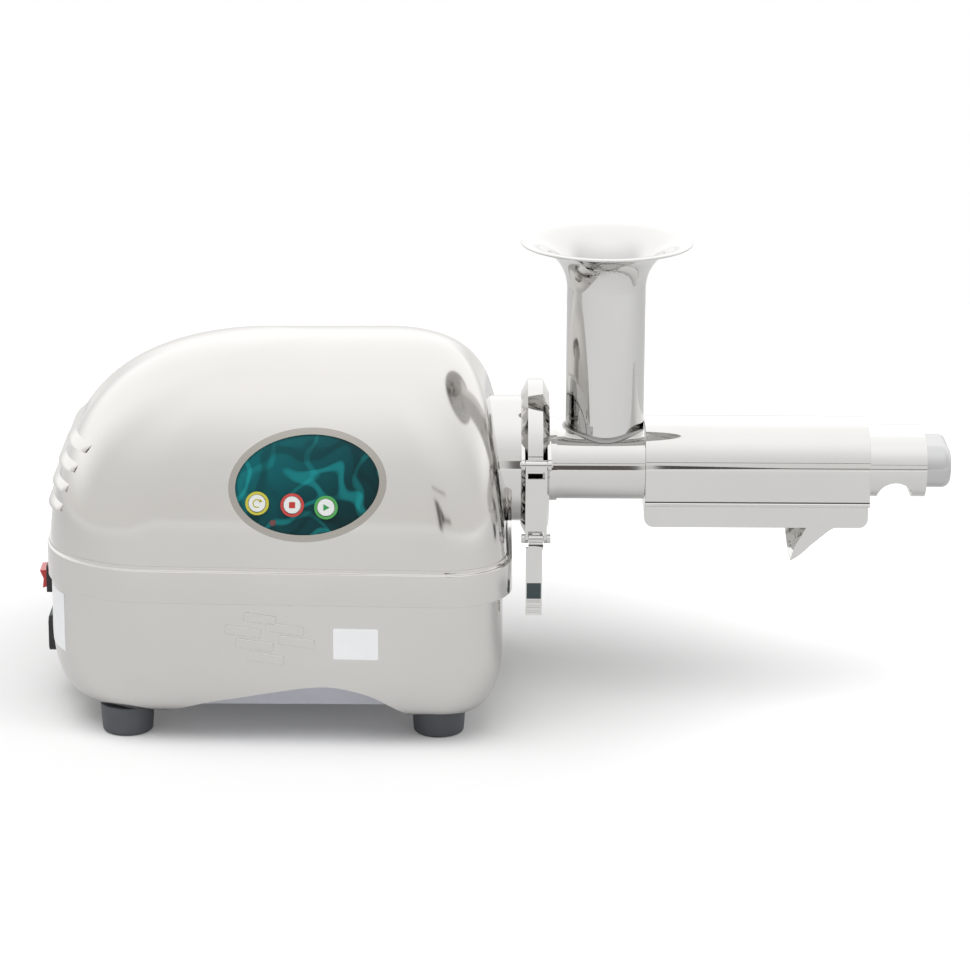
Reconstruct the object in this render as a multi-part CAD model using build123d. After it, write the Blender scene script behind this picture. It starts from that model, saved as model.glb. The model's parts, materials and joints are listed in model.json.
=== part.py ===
"""Twin-gear cold press juicer with a domed motor housing and a clamped juicing head.

Units are millimetres. The origin is on the table under the middle of the machine, +X runs from
the power inlet to the pulp end of the head, +Z is up, and the control panel faces -Y.
Every builder function below makes one sub-assembly and registers the solids of each node.
"""

import os
from functools import cache
from math import acos, atan2, cos, degrees, hypot, pi, radians, sin, sqrt, tan

from build123d import *

# ---------------------------------------------------------------------------------- driving sizes
RUN_CLEARANCE = 0.05        # radial clearance of a shaft or pin in its hole
MOVE_GAP = 0.3              # gap between neighbours that slide or swing past each other
SPARE = 5.0                 # how far a cut runs past the stock

# Motor housing, seen from above: a tapered rectangle with rounded corners
HOUSING_REAR_X = -237.5     # skirt, outer face at the inlet end
HOUSING_FRONT_X = 10.5      # skirt, outer face at the head end
HOUSING_HALF_REAR = 86.0    # half width at the inlet end
HOUSING_HALF_FRONT = 95.0   # half width at the head end
CORNER_REAR = 61.0
CORNER_FRONT = 35.0
SHEET = 1.5                 # pressed steel thickness
SKIRT_LOW_Z = 80.5
SKIRT_TOP_Z = 98.0
DOME_INSET = 1.6            # dome foot behind the skirt's face
DOME_FRONT_INSET = 2.6
DOME_CREST_Z = 203.8
DOME_CREST_X = -72.6        # highest line of the dome
PAN_INSET = 1.9             # pan wall behind the skirt's face
PAN_FRONT_INSET = 4.9
PAN_FLOOR_Z = 16.0
PAN_ROUND_DEPTH = 15.0      # how far the pan's lower edge draws in
PAN_ROUND_HEIGHT = 34.0
SKIRT_BEAD = 0.8            # radius along the skirt's upper edge

# Wave cut under the long sides of the pan
WAVE_REAR_X = -176.0
WAVE_CREST_X = -84.0
WAVE_FRONT_X = -42.0
WAVE_HEIGHT = 18.5
WAVE_MOUTH = 0.5            # ends of the wave below the pan's floor

# Louvres at the inlet end of the dome
LOUVRE_COUNT = 4
LOUVRE_PITCH = 11.0
LOUVRE_LOW_Z = 121.3
LOUVRE_HEIGHT = 3.6
LOUVRE_HALF_WIDTH = 52.0
LOUVRE_REACH = 32.5         # louvre cut in front of the skirt's rear face

# Feet
FOOT_RADIUS = 14.5
FOOT_TAPER = 1.2
FOOT_ROUND = 2.0
FOOT_INSET_X = 10.0         # foot's axis inside the end of the floor tray
FOOT_INSET_Y = 9.0          # foot's axis inside the tray's long side
FOOT_RECESS_RADIUS = 5.0
FOOT_RECESS_DEPTH = 6.0
FOOT_SCREW_RADIUS = 2.5
SCREW_HEAD_RADIUS = 4.6
SCREW_HEAD_HEIGHT = 3.0
NUT_RADIUS = 5.0
NUT_HEIGHT = 3.6
SCREW_END = 1.3             # screw past its nut

# Floor tray
TRAY_SHIFT_X = 2.5          # tray's middle in front of the housing's middle
TRAY_HALF_LENGTH = 93.0
TRAY_HALF_WIDTH = 66.0
TRAY_WALL_HEIGHT = 19.0
TRAY_CORNER = 14.0

# Control panel on the dome's -Y side
PANEL_X = -95.8
PANEL_Z = 144.2
PANEL_TILT = 16.5           # face leans back by this angle
PANEL_ROLL = 6.0            # long axis turned, head end higher
PANEL_HALF_LENGTH = 41.0
PANEL_HALF_HEIGHT = 29.6
BEZEL_WIDTH = 3.6
BEZEL_PROUD = 1.7
OVERLAY_PROUD = 0.9
BUTTON_PLACES = {"reverse": (-25.8, -10.0), "stop": (-7.6, -10.6), "start": (9.9, -11.6)}
BUTTON_RADIUS = 4.4
BUTTON_RING_RADIUS = 6.1
BUTTON_PROUD = 2.0
BUTTON_DEPTH = 4.0
BUTTON_TRAVEL = 1.2
RING_DEPTH = 5.0            # button rings behind the panel's face
RING_PROUD = 1.6
RING_SEAT = 1.2             # width of the dome's skin that carries a button ring
LENS_PLACE = (-17.7, -20.0)
LENS_RADIUS = 1.6
LENS_DEPTH = 6.0
LENS_PROUD = 0.6
LENS_CLEARANCE = 0.1
BOARD_DEPTH = 15.0          # board's front behind the panel's face
BOARD_LENGTH = 66.0
BOARD_HEIGHT = 34.0
BOARD_SHIFT = 6.0           # board's middle towards the inlet end and down
BOARD_SHEET = 1.6
SWITCH_BODY = 9.0           # side of the square body under each button
SWITCH_BODY_HEIGHT = 5.5
SWITCH_STEM_RADIUS = 2.0
CHIP_PLACE = (19.0, 1.0)
CHIP_SIZE = (12.0, 9.0)
BUFFER_PLACE = (-30.0, 3.0)
BUFFER_RADIUS = 4.5
BOARD_PART_HEIGHT = 6.0
BOARD_ROUND = 4.0
POST_PLACES = ((-35.0, -14.0), (22.0, -14.0))
POST_RADIUS = 2.6

# Rocker switch and power inlet on the pan's end wall
SWITCH_Z = 68.2
SWITCH_HALF_HEIGHT = 7.6
SWITCH_HALF_WIDTH = 10.5
SWITCH_RIM = 1.3
SWITCH_PROUD = 5.5
ROCKER_TILT = 8.0           # either way from its middle position
ROCKER_HALF_HEIGHT = 5.0
ROCKER_PIVOT = 3.0          # pivot in front of the pan's end wall
ROCKER_TIP_X = -245.0
ROCKER_DISH = 1.3           # hollow in the rocker's face
ROCKER_TAIL = 4.0           # rocker behind its pivot
ROCKER_AXLE_RADIUS = 0.9
ROCKER_AXLE_SEAT = 1.0      # axle in each side of the frame
SWITCH_SIDE = 3.0           # frame beside the rocker
SWITCH_WELL = 8.0
SWITCH_BODY_DEPTH = 18.0
SWITCH_ROUND = 1.5
SWITCH_BODY_ROUND = 0.5
INLET_Z = 38.0
INLET_PROUD = 4.8
INLET_RIM = 1.8
SOCKET_HALF_WIDTH = 12.0
SOCKET_HALF_HEIGHT = 8.0
SOCKET_DEPTH = 15.0
SOCKET_ROUND = 2.0
CONTACT_PLACES = ((-7.0, -2.0), (0.0, 2.5), (7.0, -2.0))
CONTACT_HALF_WIDTH = 1.0
CONTACT_HALF_HEIGHT = 2.0

# Drive
AXIS_Z = 135.0              # height of the head's centre plane
AUGER_SPACING = 22.0        # between the two auger axes
MOTOR_Z = 95.0
MOTOR_RADIUS = 42.0
STACK_REAR_X = -145.0       # steel stack of the stator
STACK_LENGTH = 55.0
COIL_LENGTH = 12.0
COIL_INSET = 6.0            # coils inside the stack's outer face
COIL_GAP = 3.0              # coils outside the stack's bore
COIL_ROUND = 2.0
BELL_REAR_X = -168.0
BELL_WALL = 3.0
BELL_RIM = 2.5
BELL_HUB_RADIUS = 14.0
BELL_HOLES = 6
BELL_HOLE_RADIUS = 5.0
BELL_HOLE_CIRCLE = 28.0
MOTOR_BEARING_RADIUS = 11.0
ROTOR_RADIUS = 22.0
ROTOR_OVERHANG = 2.0        # rotor past each end of the stator
AIR_GAP = 0.5
SHAFT_RADIUS = 6.0
SHAFT_REAR_X = -188.0
PINION_SHAFT_RADIUS = 3.4
PINION_SHAFT_LENGTH = 22.0
FAN_RADIUS = 36.0
FAN_HUB_RADIUS = 9.0
FAN_BLADES = 9
FAN_WIDTH = 10.0
FAN_DISC = 2.0
FAN_BLADE_SHEET = 1.6
FAN_BLADE_LENGTH = 28.0
FAN_BLADE_OFFSET = 3.0
FAN_BLADE_INSET = 0.5
FAN_BLADE_TURN = 12.0
FAN_INSET = 2.0             # fan in front of the shaft's rear end
CRADLE_HALF_WIDTH = 26.0
CRADLE_INSET = 4.0          # cradle inside the stack's ends
CRADLE_SHEET = 3.0
CRADLE_RIB = 5.0
CRADLE_DROP = 24.0          # top of the cradle's ribs below the motor's axis
CAPACITOR_Y = 45.0
CAPACITOR_RADIUS = 15.0
CAPACITOR_LENGTH = 55.0
CAPACITOR_REAR = 5.0        # capacitor behind the stator's rear end
CAPACITOR_TERMINAL = 6.0
CAPACITOR_TERMINAL_RADIUS = 4.0
CLIP_SHEET = 2.0
CLIP_WIDTH = 15.0
CLIP_INSET = 20.0           # clip in front of the capacitor's rear end
CLIP_MOUTH = 8.0
CLIP_MOUTH_Z = 5.0
CLIP_FOOT = 1.5
PINION_TEETH = 12
LAY_TEETH = 60
FIRST_MODULE = 1.0
LAY_PINION_TEETH = 14
OUTPUT_TEETH = 56
SECOND_MODULE = 1.25
GEAR_PRESSURE_ANGLE = 20.0
GEAR_BACKLASH = 0.12
FACE_WIDTH = 11.0
LAY_SHAFT_RADIUS = 5.0
GEARBOX_WALL = 4.0
GEARBOX_FRONT_X = -9.0
GEARBOX_REAR_X = -57.0
GEARBOX_REACH = 41.0        # case radius round the output gear
GEARBOX_LAY_REACH = 35.0
GEARBOX_PINION_REACH = 20.0
GEARBOX_NECK_REACH = 8.2    # case outside the neck's radius
GEARBOX_FOOT_HALF = 15.0
GEARBOX_FOOT_INSET = 8.0
GEARBOX_FOOT_DROP = 18.0    # top of the case's foot below the motor's axis
GEARBOX_PLATE_HALF = 32.0
GEARBOX_PLATE_INSET = 2.0
GEARBOX_PLATE_SHEET = 4.0
BEARING_WIDTH = 7.0
BEARING_FLOOR = 1.0         # case wall behind a bearing
BEARING_RADIUS = 13.0
LAY_BEARING_RADIUS = 9.0
BOSS_WALL = 3.0             # round each bearing
GEAR_SIDE_GAP = 1.5         # first gear stage in front of the rear bosses
GEAR_OVERLAP = 1.0          # pinions wider than their gears on each side
LIGHTENING_HOLES = 6
LIGHTENING_RADIUS = 5.0
LIGHTENING_CIRCLE = 18.0
OUTPUT_SHAFT_RADIUS = 8.0
HEX_FLATS = 10.0
COUPLING_RADIUS = 12.0
COUPLING_END_X = 16.0
COUPLING_START = 4.5        # coupling in front of the gearbox

# Neck and head
NECK_RADIUS = 33.8
NECK_BORE = 29.0
FLANGE_RADIUS = 38.5
FLANGE_THICKNESS = 4.0
FLANGE_BEVEL = 2.0
FLANGE_LAND = 1.0
FLANGE_RAMP = 1.5
NECK_PLATE = 3.4
NECK_PLATE_REACH = 5.7      # plate outside the neck's radius
NECK_BOLT_CIRCLE = 36.7
NECK_BOLT_RADIUS = 1.6
BOLT_HEAD_RADIUS = 2.6
BOLT_HEAD_HEIGHT = 2.4
BOLT_CLEARANCE = 0.1
NECK_END_X = 22.35
SEAL_THICKNESS = 0.6
SEAL_INSET = 2.0
BARREL_RADIUS = 18.6
AUGER_TIP_RADIUS = 13.5
AUGER_ROOT_RADIUS = 8.1
AUGER_PRESSURE_ANGLE = 30.0
AUGER_BACKLASH = 0.18
AUGER_STAGES = ((36.6, 80.0, 4, 80.0), (82.0, 139.0, 6, 120.0), (141.0, 198.5, 8, 150.0))
AUGER_JOURNAL = 6.0
FLANGE_SETBACK = 2.0        # bushes and journals behind the barrel's face
SOCKET_END = 9.0            # start of the auger's tang in front of the gearbox
AUGER_END_X = 232.0
BORE_CLEARANCE = 0.4
BARREL_WALL_X = 36.0        # end of the solid wall that carries the auger journals
BUSH_WALL = 2.4
COLLAR_X = 30.2             # barrel's collar, next to the clamp
COLLAR_LENGTH = 4.1
COLLAR_RISE = 1.0
BARREL_END_X = 81.0
HOPPER_X = 60.0
HOPPER_RADIUS = 21.0
HOPPER_WALL = 1.3
THROAT_RELIEF = 0.4         # barrel's opening outside the hopper's bore
HOPPER_RIM_Z = 255.0
HOPPER_FLARE = 24.0
SCREEN_RADIUS = 16.5
SCREEN_END_X = 201.0
SCREEN_ZONES = 3
SCREEN_SLOTS = 7
SCREEN_SLOT = 1.2
SCREEN_SLOT_PITCH = 4.0
SCREEN_LAND = 8.0           # plain length before each zone of slots
SCREEN_SLOT_HALF = 6.0
SCREEN_SLOT_TOP = 8.0       # slots end this far below the axis plane
BLOCK_END_X = 231.3
BLOCK_WALL = 5.0
NOTCH_X = 215.0
NOTCH_RADIUS = 9.3
NOTCH_TOP = 5.4             # below the axis plane
CAP_RADIUS = 11.4
CAP_ROUND = 4.5
CAP_END_X = 245.0

# Juice cover
COVER_RADIUS = 21.5
COVER_HALF_WIDTH = 30.0
COVER_SHEET = 1.2
COVER_STEP = 18.0           # step below the axis plane
COVER_STEP_IN = 6.6
COVER_FLOOR = 31.5          # floor below the axis plane
TRAY_ROUND = 5.0            # radius along the tray's lower long edges
DRAIN_INSET = 8.0           # tray's drain inside the spout's ends
DRAIN_SIDE = 3.0
SPOUT_REAR_X = 196.0
SPOUT_TIP_X = 161.0
SPOUT_TIP_DROP = 53.5       # tip below the axis plane
SPOUT_HALF_WIDTH = 12.0
SPOUT_SHEET = 1.3

# Clamp ring and latch; u points at -Y and v up, both from the head's axis
RING_WIDTH = 15.1
RING_FLAT = 8.0
RING_RISE = 4.5             # flat of the ring above the flanges
RING_EDGE_RISE = 2.0        # ring's edge above the neck
RING_LIP_GAP = 0.5
RING_WALL = 1.8
HINGE_OUT = 7.0             # hinge pin outside the ring's flat
HINGE_KNUCKLE = 5.0
HINGE_PIN = 2.0
KNUCKLE_WIDTH = 5.2
HINGE_ROOT = 3.0            # hinge tabs reach this far inside the ring's flat
HINGE_TAB = 12.0
KEEPER_OUT = 5.0
KEEPER_V = 10.0
KEEPER_HEAD = 0.8           # keeper pin past its ears
EAR_RADIUS = 3.2
EAR_THICKNESS = 1.9
LINK_LENGTH = 40.5
LINK_WIDTH = 11.4
LINK_SHEET = 1.5
LINK_CURL = 2.6             # outer radius of the link's curl
LINK_PLATE_END = 4.6        # lower end of the link's plate above its pivot
LINK_WINDOW = (3.4, 7.0)    # window in the link's plate, below the keeper pin
LINK_WINDOW_SIDE = 1.2
LINK_CHEEK = 8.0
LATCH_PIN = 1.5
PIN_HEAD_RADIUS = 2.3
PIN_HEAD = 2.0
HANDLE_LENGTH = 41.5
HANDLE_WIDTH = 8.6
HANDLE_SHEET = 1.6
HANDLE_OFFSET_X = -0.9
HANDLE_KNUCKLE = 2.5
HANDLE_FACE = 0.5           # strip's inner face in front of its pivot
HANDLE_SHOULDER = 4.6       # strip starts this far below its pivot
HANDLE_BEND = 30.0          # strip bends outward this far below its pivot
HANDLE_SWEEP = 1.5
HANDLE_HEM = 8.0
CATCH_OUT = 0.6
CATCH_V = -22.0
CATCH_GAP = 1.0
CATCH_EAR = 2.4
HOOK_WIDTH = 3.8
HOOK_SIDE_GAP = 0.4
LATCH_OFFSET_X = 0.4

# ------------------------------------------------------------------------------- derived places
HALF_SPACING = AUGER_SPACING / 2
DRIVE_Y = -HALF_SPACING
TAPER = (HOUSING_HALF_FRONT - HOUSING_HALF_REAR) / (HOUSING_FRONT_X - HOUSING_REAR_X)
PAN_REAR_X = HOUSING_REAR_X + PAN_INSET
PAN_TOP_Z = SKIRT_TOP_Z - 2 * SHEET - MOVE_GAP
PAN_INSIDE_Z = PAN_FLOOR_Z + SHEET
DECK_Z = PAN_FLOOR_Z + 2 * SHEET
TRAY_MID_X = (HOUSING_REAR_X + HOUSING_FRONT_X) / 2 + TRAY_SHIFT_X
FOOT_X = TRAY_HALF_LENGTH - FOOT_INSET_X
FOOT_Y = TRAY_HALF_WIDTH - FOOT_INSET_Y
FOOT_PLACES = [(TRAY_MID_X + x, y) for x in (-FOOT_X, FOOT_X) for y in (-FOOT_Y, FOOT_Y)]
THROAT_RADIUS = HOPPER_RADIUS - HOPPER_WALL
AUGER_BORE = AUGER_TIP_RADIUS + BORE_CLEARANCE
JOURNAL_BORE = AUGER_JOURNAL + RUN_CLEARANCE
BARREL_FLANGE_X = NECK_END_X + SEAL_THICKNESS
RING_MID_X = (NECK_END_X + BARREL_FLANGE_X) / 2
RING_RADIUS = FLANGE_RADIUS + RING_RISE
RING_EDGE_RADIUS = NECK_RADIUS + RING_EDGE_RISE
RING_BORE = NECK_RADIUS + RING_LIP_GAP
HINGE_U = -RING_RADIUS - HINGE_OUT
KEEPER_U = RING_RADIUS + KEEPER_OUT
CATCH_U = RING_RADIUS + CATCH_OUT
LATCH_X = RING_MID_X + LATCH_OFFSET_X
PIVOT_V = KEEPER_V - LINK_LENGTH
NODES = {}


def keep(name, *shapes):
    """Register the solids of one node."""
    NODES[name] = shapes


# ---------------------------------------------------------------------------------- small helpers
def at_x(x, y=0.0, z=AXIS_Z):
    """Plane across the machine at x: its x axis is world Y and its y axis is world Z."""
    return Plane(origin=(x, y, z), x_dir=(0, 1, 0), z_dir=(1, 0, 0))


def along_x(sketch, x0, x1, y=0.0, z=AXIS_Z):
    """Prism of a cross-section between two stations."""
    return extrude(at_x(x0, y, z) * sketch, x1 - x0)


def rod(radius, x0, x1, y=0.0, z=AXIS_Z):
    """Round bar along X."""
    return along_x(Circle(radius), x0, x1, y, z)


def tube(outer, inner, x0, x1, y=0.0, z=AXIS_Z):
    """Round tube along X."""
    return along_x(Circle(outer) - Circle(inner), x0, x1, y, z)


def oblong(radius, half_spacing=HALF_SPACING):
    """Flat-sided oval across the machine, made of two arcs and two straights."""
    return SlotCenterToCenter(2 * half_spacing, 2 * radius)


def twin_bore(radius):
    """Two round bores side by side, one for each auger."""
    return Pos(-HALF_SPACING, 0) * Circle(radius) + Pos(HALF_SPACING, 0) * Circle(radius)


def brick(x0, x1, y0, y1, z0, z1):
    """Rectangular block between two corners."""
    size = (x1 - x0, y1 - y0, z1 - z0)
    return Pos((x0 + x1) / 2, (y0 + y1) / 2, (z0 + z1) / 2) * Box(*size)


def rounded_corner(corner, before, after, radius):
    """Tangent points and middle point of an arc that rounds one corner of an outline."""
    c = Vector(*corner)
    u = (c - Vector(*before)).normalized()
    v = (Vector(*after) - c).normalized()
    turn = radians(u.get_angle(v))
    setback = radius * tan(turn / 2)
    inward = (v - u).normalized()
    middle = c + inward * (radius / cos(turn / 2) - radius)
    return c - u * setback, middle, c + v * setback


def plan_face(z, rear_x, front_x, half_rear, half_front, r_rear, r_front):
    """Tapered rectangle with rounded corners, lying at height z."""
    corners = [(front_x, -half_front), (front_x, half_front), (rear_x, half_rear), (rear_x, -half_rear)]
    radii = [r_front, r_front, r_rear, r_rear]
    arcs = []
    for i, corner in enumerate(corners):
        arcs.append(rounded_corner(corner, corners[i - 1], corners[(i + 1) % 4], radii[i]))
    edges = []
    for i, (start, middle, end) in enumerate(arcs):
        edges.append(ThreePointArc(start, middle, end))
        edges.append(Line(end, arcs[(i + 1) % 4][0]))
    return Pos(0, 0, z) * make_face(edges)


def housing_face(z, inset, front_inset=None, extra=0.0):
    """Housing outline drawn in from the skirt's face."""
    front = inset if front_inset is None else front_inset
    front += extra
    side = inset + extra
    return plan_face(
        z,
        HOUSING_REAR_X + side,
        HOUSING_FRONT_X - front,
        HOUSING_HALF_REAR - side,
        HOUSING_HALF_FRONT - side,
        CORNER_REAR - side,
        CORNER_FRONT - side,
    )


def side_y(x):
    """Half width of the skirt at a station along the machine."""
    return HOUSING_HALF_REAR + TAPER * (x - HOUSING_REAR_X)


# ------------------------------------------------------------------------------------ motor housing
@cache
def dome_solid(inset):
    """Loaf-shaped dome: each level is the foot outline drawn in by its own curve on every side."""
    rise = DOME_CREST_Z - inset - SKIRT_TOP_Z
    rear = HOUSING_REAR_X + DOME_INSET + inset
    front = HOUSING_FRONT_X - DOME_FRONT_INSET - inset
    half_rear = HOUSING_HALF_REAR - DOME_INSET - inset
    half_front = HOUSING_HALF_FRONT - DOME_INSET - inset
    rear_lean, front_lean = 0.044 * rise, 0.096 * rise
    levels = []
    for angle in (0, 14, 27, 39, 50, 60, 68, 75, 81, 86, 89):
        s = sin(radians(angle))
        rear_in = rear_lean * s + (DOME_CREST_X - rear - rear_lean) * (1 - (1 - s**2.34) ** (1 / 3.72))
        front_in = front_lean * s + (front - DOME_CREST_X - front_lean) * (1 - (1 - s**4.5) ** (1 / 4.6))
        narrow = (1 - s**2.4) ** (1 / 2.4)
        x0, x1 = rear + rear_in, front - front_in
        h0, h1 = half_rear * narrow, half_front * narrow
        share_rear = (CORNER_REAR - DOME_INSET - inset) / half_rear
        share_front = (CORNER_FRONT - DOME_INSET - inset) / half_front
        r0 = h0 * (share_rear + (0.97 - share_rear) * s**2)
        r1 = h1 * (share_front + (0.97 - share_front) * s**3)
        levels.append(plan_face(SKIRT_TOP_Z + rise * s, x0, x1, h0, h1, r0, r1))
    return loft(levels)


def pan_solid(inset):
    """Pan with a rounded lower edge."""
    floor_z = PAN_FLOOR_Z + inset
    height = PAN_ROUND_HEIGHT - inset
    levels = []
    for angle in (0, 18, 36, 54, 72, 90):
        draw = PAN_ROUND_DEPTH * (1 - sin(radians(angle)))
        z = floor_z + height * (1 - cos(radians(angle)))
        levels.append(housing_face(z, PAN_INSET, PAN_FRONT_INSET, inset + draw))
    lower = loft(levels)
    upper = extrude(housing_face(PAN_ROUND_HEIGHT + PAN_FLOOR_Z, PAN_INSET, PAN_FRONT_INSET, inset),
                    PAN_TOP_Z - PAN_ROUND_HEIGHT - PAN_FLOOR_Z)
    return lower + upper


def wave_cut():
    """Air gap under the pan: a long low wave through both long sides."""
    mouth = PAN_FLOOR_Z - WAVE_MOUTH
    below = PAN_FLOOR_Z - FOOT_RADIUS
    rise = WAVE_CREST_X - WAVE_REAR_X
    fall = WAVE_FRONT_X - WAVE_CREST_X
    edge = [
        Spline(
            (WAVE_REAR_X, mouth),
            (WAVE_REAR_X + 0.283 * rise, PAN_FLOOR_Z + 0.405 * WAVE_HEIGHT),
            (WAVE_REAR_X + 0.696 * rise, PAN_FLOOR_Z + 0.838 * WAVE_HEIGHT),
            (WAVE_CREST_X, PAN_FLOOR_Z + WAVE_HEIGHT),
            (WAVE_CREST_X + 0.524 * fall, PAN_FLOOR_Z + 0.676 * WAVE_HEIGHT),
            (WAVE_FRONT_X, mouth),
            tangents=[(1, 0.12), (1, -0.5)],
        ),
        Polyline((WAVE_FRONT_X, mouth), (WAVE_FRONT_X, below), (WAVE_REAR_X, below), (WAVE_REAR_X, mouth)),
    ]
    profile = Plane.XZ * make_face(edge)
    return extrude(profile, 2 * HOUSING_HALF_FRONT, both=True)


def panel_plane(depth=0.0):
    """Plane of the control panel: x runs towards the head, y up the dome, z outwards."""
    lean = radians(PANEL_TILT)
    yaw = Vector(cos(atan2(TAPER, 1)), -sin(atan2(TAPER, 1)), 0)
    outward = Vector(-TAPER, -cos(lean), sin(lean)).normalized()
    s = (PANEL_Z - SKIRT_TOP_Z) / (DOME_CREST_Z - SKIRT_TOP_Z)
    y = (side_y(PANEL_X) - DOME_INSET) * (1 - s**2.4) ** (1 / 2.4)
    return Plane(origin=(PANEL_X, -y, PANEL_Z), x_dir=yaw, z_dir=outward).offset(-depth)


def panel_prism(sketch, depth, proud):
    """Prism square to the control panel, from behind it to in front of it."""
    return extrude(panel_plane(depth) * sketch, depth + proud)


def panel_cut(sketch):
    """Prism square to the control panel that passes through its skins and the dome."""
    return panel_prism(sketch, BOARD_DEPTH - SHEET, 2 * SPARE)


def housing():
    """Cover, pan, gasket, floor tray, feet and their screws."""
    dome = dome_solid(0.0)
    dome_room = dome_solid(SHEET)
    inner_inset = PAN_INSET - MOVE_GAP
    inner_front = PAN_FRONT_INSET - MOVE_GAP
    skirt = extrude(housing_face(SKIRT_LOW_Z, 0.0), SKIRT_TOP_Z - SKIRT_LOW_Z)
    skirt_room = extrude(housing_face(SKIRT_LOW_Z, inner_inset, inner_front),
                         SKIRT_TOP_Z - SHEET - SKIRT_LOW_Z)
    dome_foot = extrude(housing_face(SKIRT_LOW_Z, DOME_INSET, DOME_FRONT_INSET, SHEET),
                        SKIRT_TOP_Z - SKIRT_LOW_Z)
    bead = fillet(skirt.faces().sort_by(Axis.Z)[-1].edges(), SKIRT_BEAD)
    cover = bead - skirt_room - dome_foot + (dome - dome_room)
    cover -= rod(NECK_RADIUS + MOVE_GAP, DOME_CREST_X, HOUSING_FRONT_X + SPARE)
    for row in range(LOUVRE_COUNT):
        z = LOUVRE_LOW_Z + LOUVRE_PITCH * row
        slot = brick(HOUSING_REAR_X - SPARE, HOUSING_REAR_X + LOUVRE_REACH, -LOUVRE_HALF_WIDTH,
                     LOUVRE_HALF_WIDTH, z - LOUVRE_HEIGHT / 2, z + LOUVRE_HEIGHT / 2)
        cover -= slot
    for x, y in BUTTON_PLACES.values():
        cover -= panel_cut(Pos(x, y) * Circle(BUTTON_RING_RADIUS - RING_SEAT))
    cover -= panel_cut(Pos(*LENS_PLACE) * Circle(LENS_RADIUS + LENS_CLEARANCE))
    keep("top_cover", cover)

    pan = pan_solid(0.0) - pan_solid(SHEET) - wave_cut()
    pan -= extrude(housing_face(PAN_TOP_Z - SPARE, PAN_INSET, PAN_FRONT_INSET, SHEET), 2 * SPARE)
    pan -= switch_cutout() + inlet_cutout()
    for x, y in FOOT_PLACES:
        pan -= Pos(x, y, PAN_FLOOR_Z) * Cylinder(FOOT_SCREW_RADIUS + RUN_CLEARANCE, 4 * SHEET)
    keep("base_pan", pan)

    gasket = extrude(housing_face(PAN_TOP_Z, PAN_INSET, PAN_FRONT_INSET), SHEET + MOVE_GAP)
    gasket -= extrude(housing_face(PAN_TOP_Z, PAN_INSET, PAN_FRONT_INSET, 2 * SHEET), SHEET + MOVE_GAP)
    keep("rim_gasket", gasket)


def standing(x, y, z, radius, height):
    """Round bar that stands on height z."""
    return Pos(x, y, z) * Cylinder(radius, height, align=(Align.CENTER, Align.CENTER, Align.MIN))


def tray_block(shrink, z0, z1):
    """Block of the floor tray's outline with rounded upright corners."""
    half_length, half_width = TRAY_HALF_LENGTH - shrink, TRAY_HALF_WIDTH - shrink
    block = brick(TRAY_MID_X - half_length, TRAY_MID_X + half_length, -half_width, half_width, z0, z1)
    return fillet(block.edges().filter_by(Axis.Z), TRAY_CORNER - shrink)


def tray_and_feet():
    """Dark floor tray between the feet, four rubber feet and the screws that hold both."""
    top_z = PAN_INSIDE_Z + TRAY_WALL_HEIGHT
    ledge = brick(TRAY_MID_X - TRAY_HALF_LENGTH, TRAY_MID_X + TRAY_HALF_LENGTH, -HOUSING_HALF_FRONT,
                  HOUSING_HALF_FRONT, top_z - SHEET, top_z)
    ledge -= brick(TRAY_MID_X - TRAY_HALF_LENGTH, TRAY_MID_X + TRAY_HALF_LENGTH, SHEET - TRAY_HALF_WIDTH,
                   TRAY_HALF_WIDTH - SHEET, top_z - 2 * SHEET, top_z + SHEET)
    tray = tray_block(0, PAN_INSIDE_Z, top_z) - tray_block(SHEET, DECK_Z, top_z + SHEET)
    tray += ledge & pan_solid(SHEET + MOVE_GAP)
    hole = FOOT_SCREW_RADIUS + RUN_CLEARANCE
    head_z = FOOT_RECESS_DEPTH - SCREW_HEAD_HEIGHT
    screw_top = DECK_Z + NUT_HEIGHT + SCREW_END
    screws, feet = [], []
    for x, y in FOOT_PLACES:
        tray -= standing(x, y, PAN_FLOOR_Z, hole, 4 * SHEET)
        foot = Pos(x, y, 0) * Cone(FOOT_RADIUS - FOOT_TAPER, FOOT_RADIUS, PAN_FLOOR_Z,
                                   align=(Align.CENTER, Align.CENTER, Align.MIN))
        foot = fillet(foot.edges().sort_by(Axis.Z)[0], FOOT_ROUND)
        foot -= standing(x, y, 0, FOOT_RECESS_RADIUS, FOOT_RECESS_DEPTH)
        feet.append(foot - standing(x, y, 0, hole, PAN_FLOOR_Z + SPARE))
        screw = standing(x, y, head_z, SCREW_HEAD_RADIUS, SCREW_HEAD_HEIGHT)
        screw += standing(x, y, head_z, FOOT_SCREW_RADIUS, screw_top - head_z)
        screws.append(screw + Pos(x, y, DECK_Z) * extrude(RegularPolygon(NUT_RADIUS, 6), NUT_HEIGHT))
    keep("feet", *feet)
    keep("bottom_tray", tray)
    keep("foot_screws", *screws)


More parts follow.
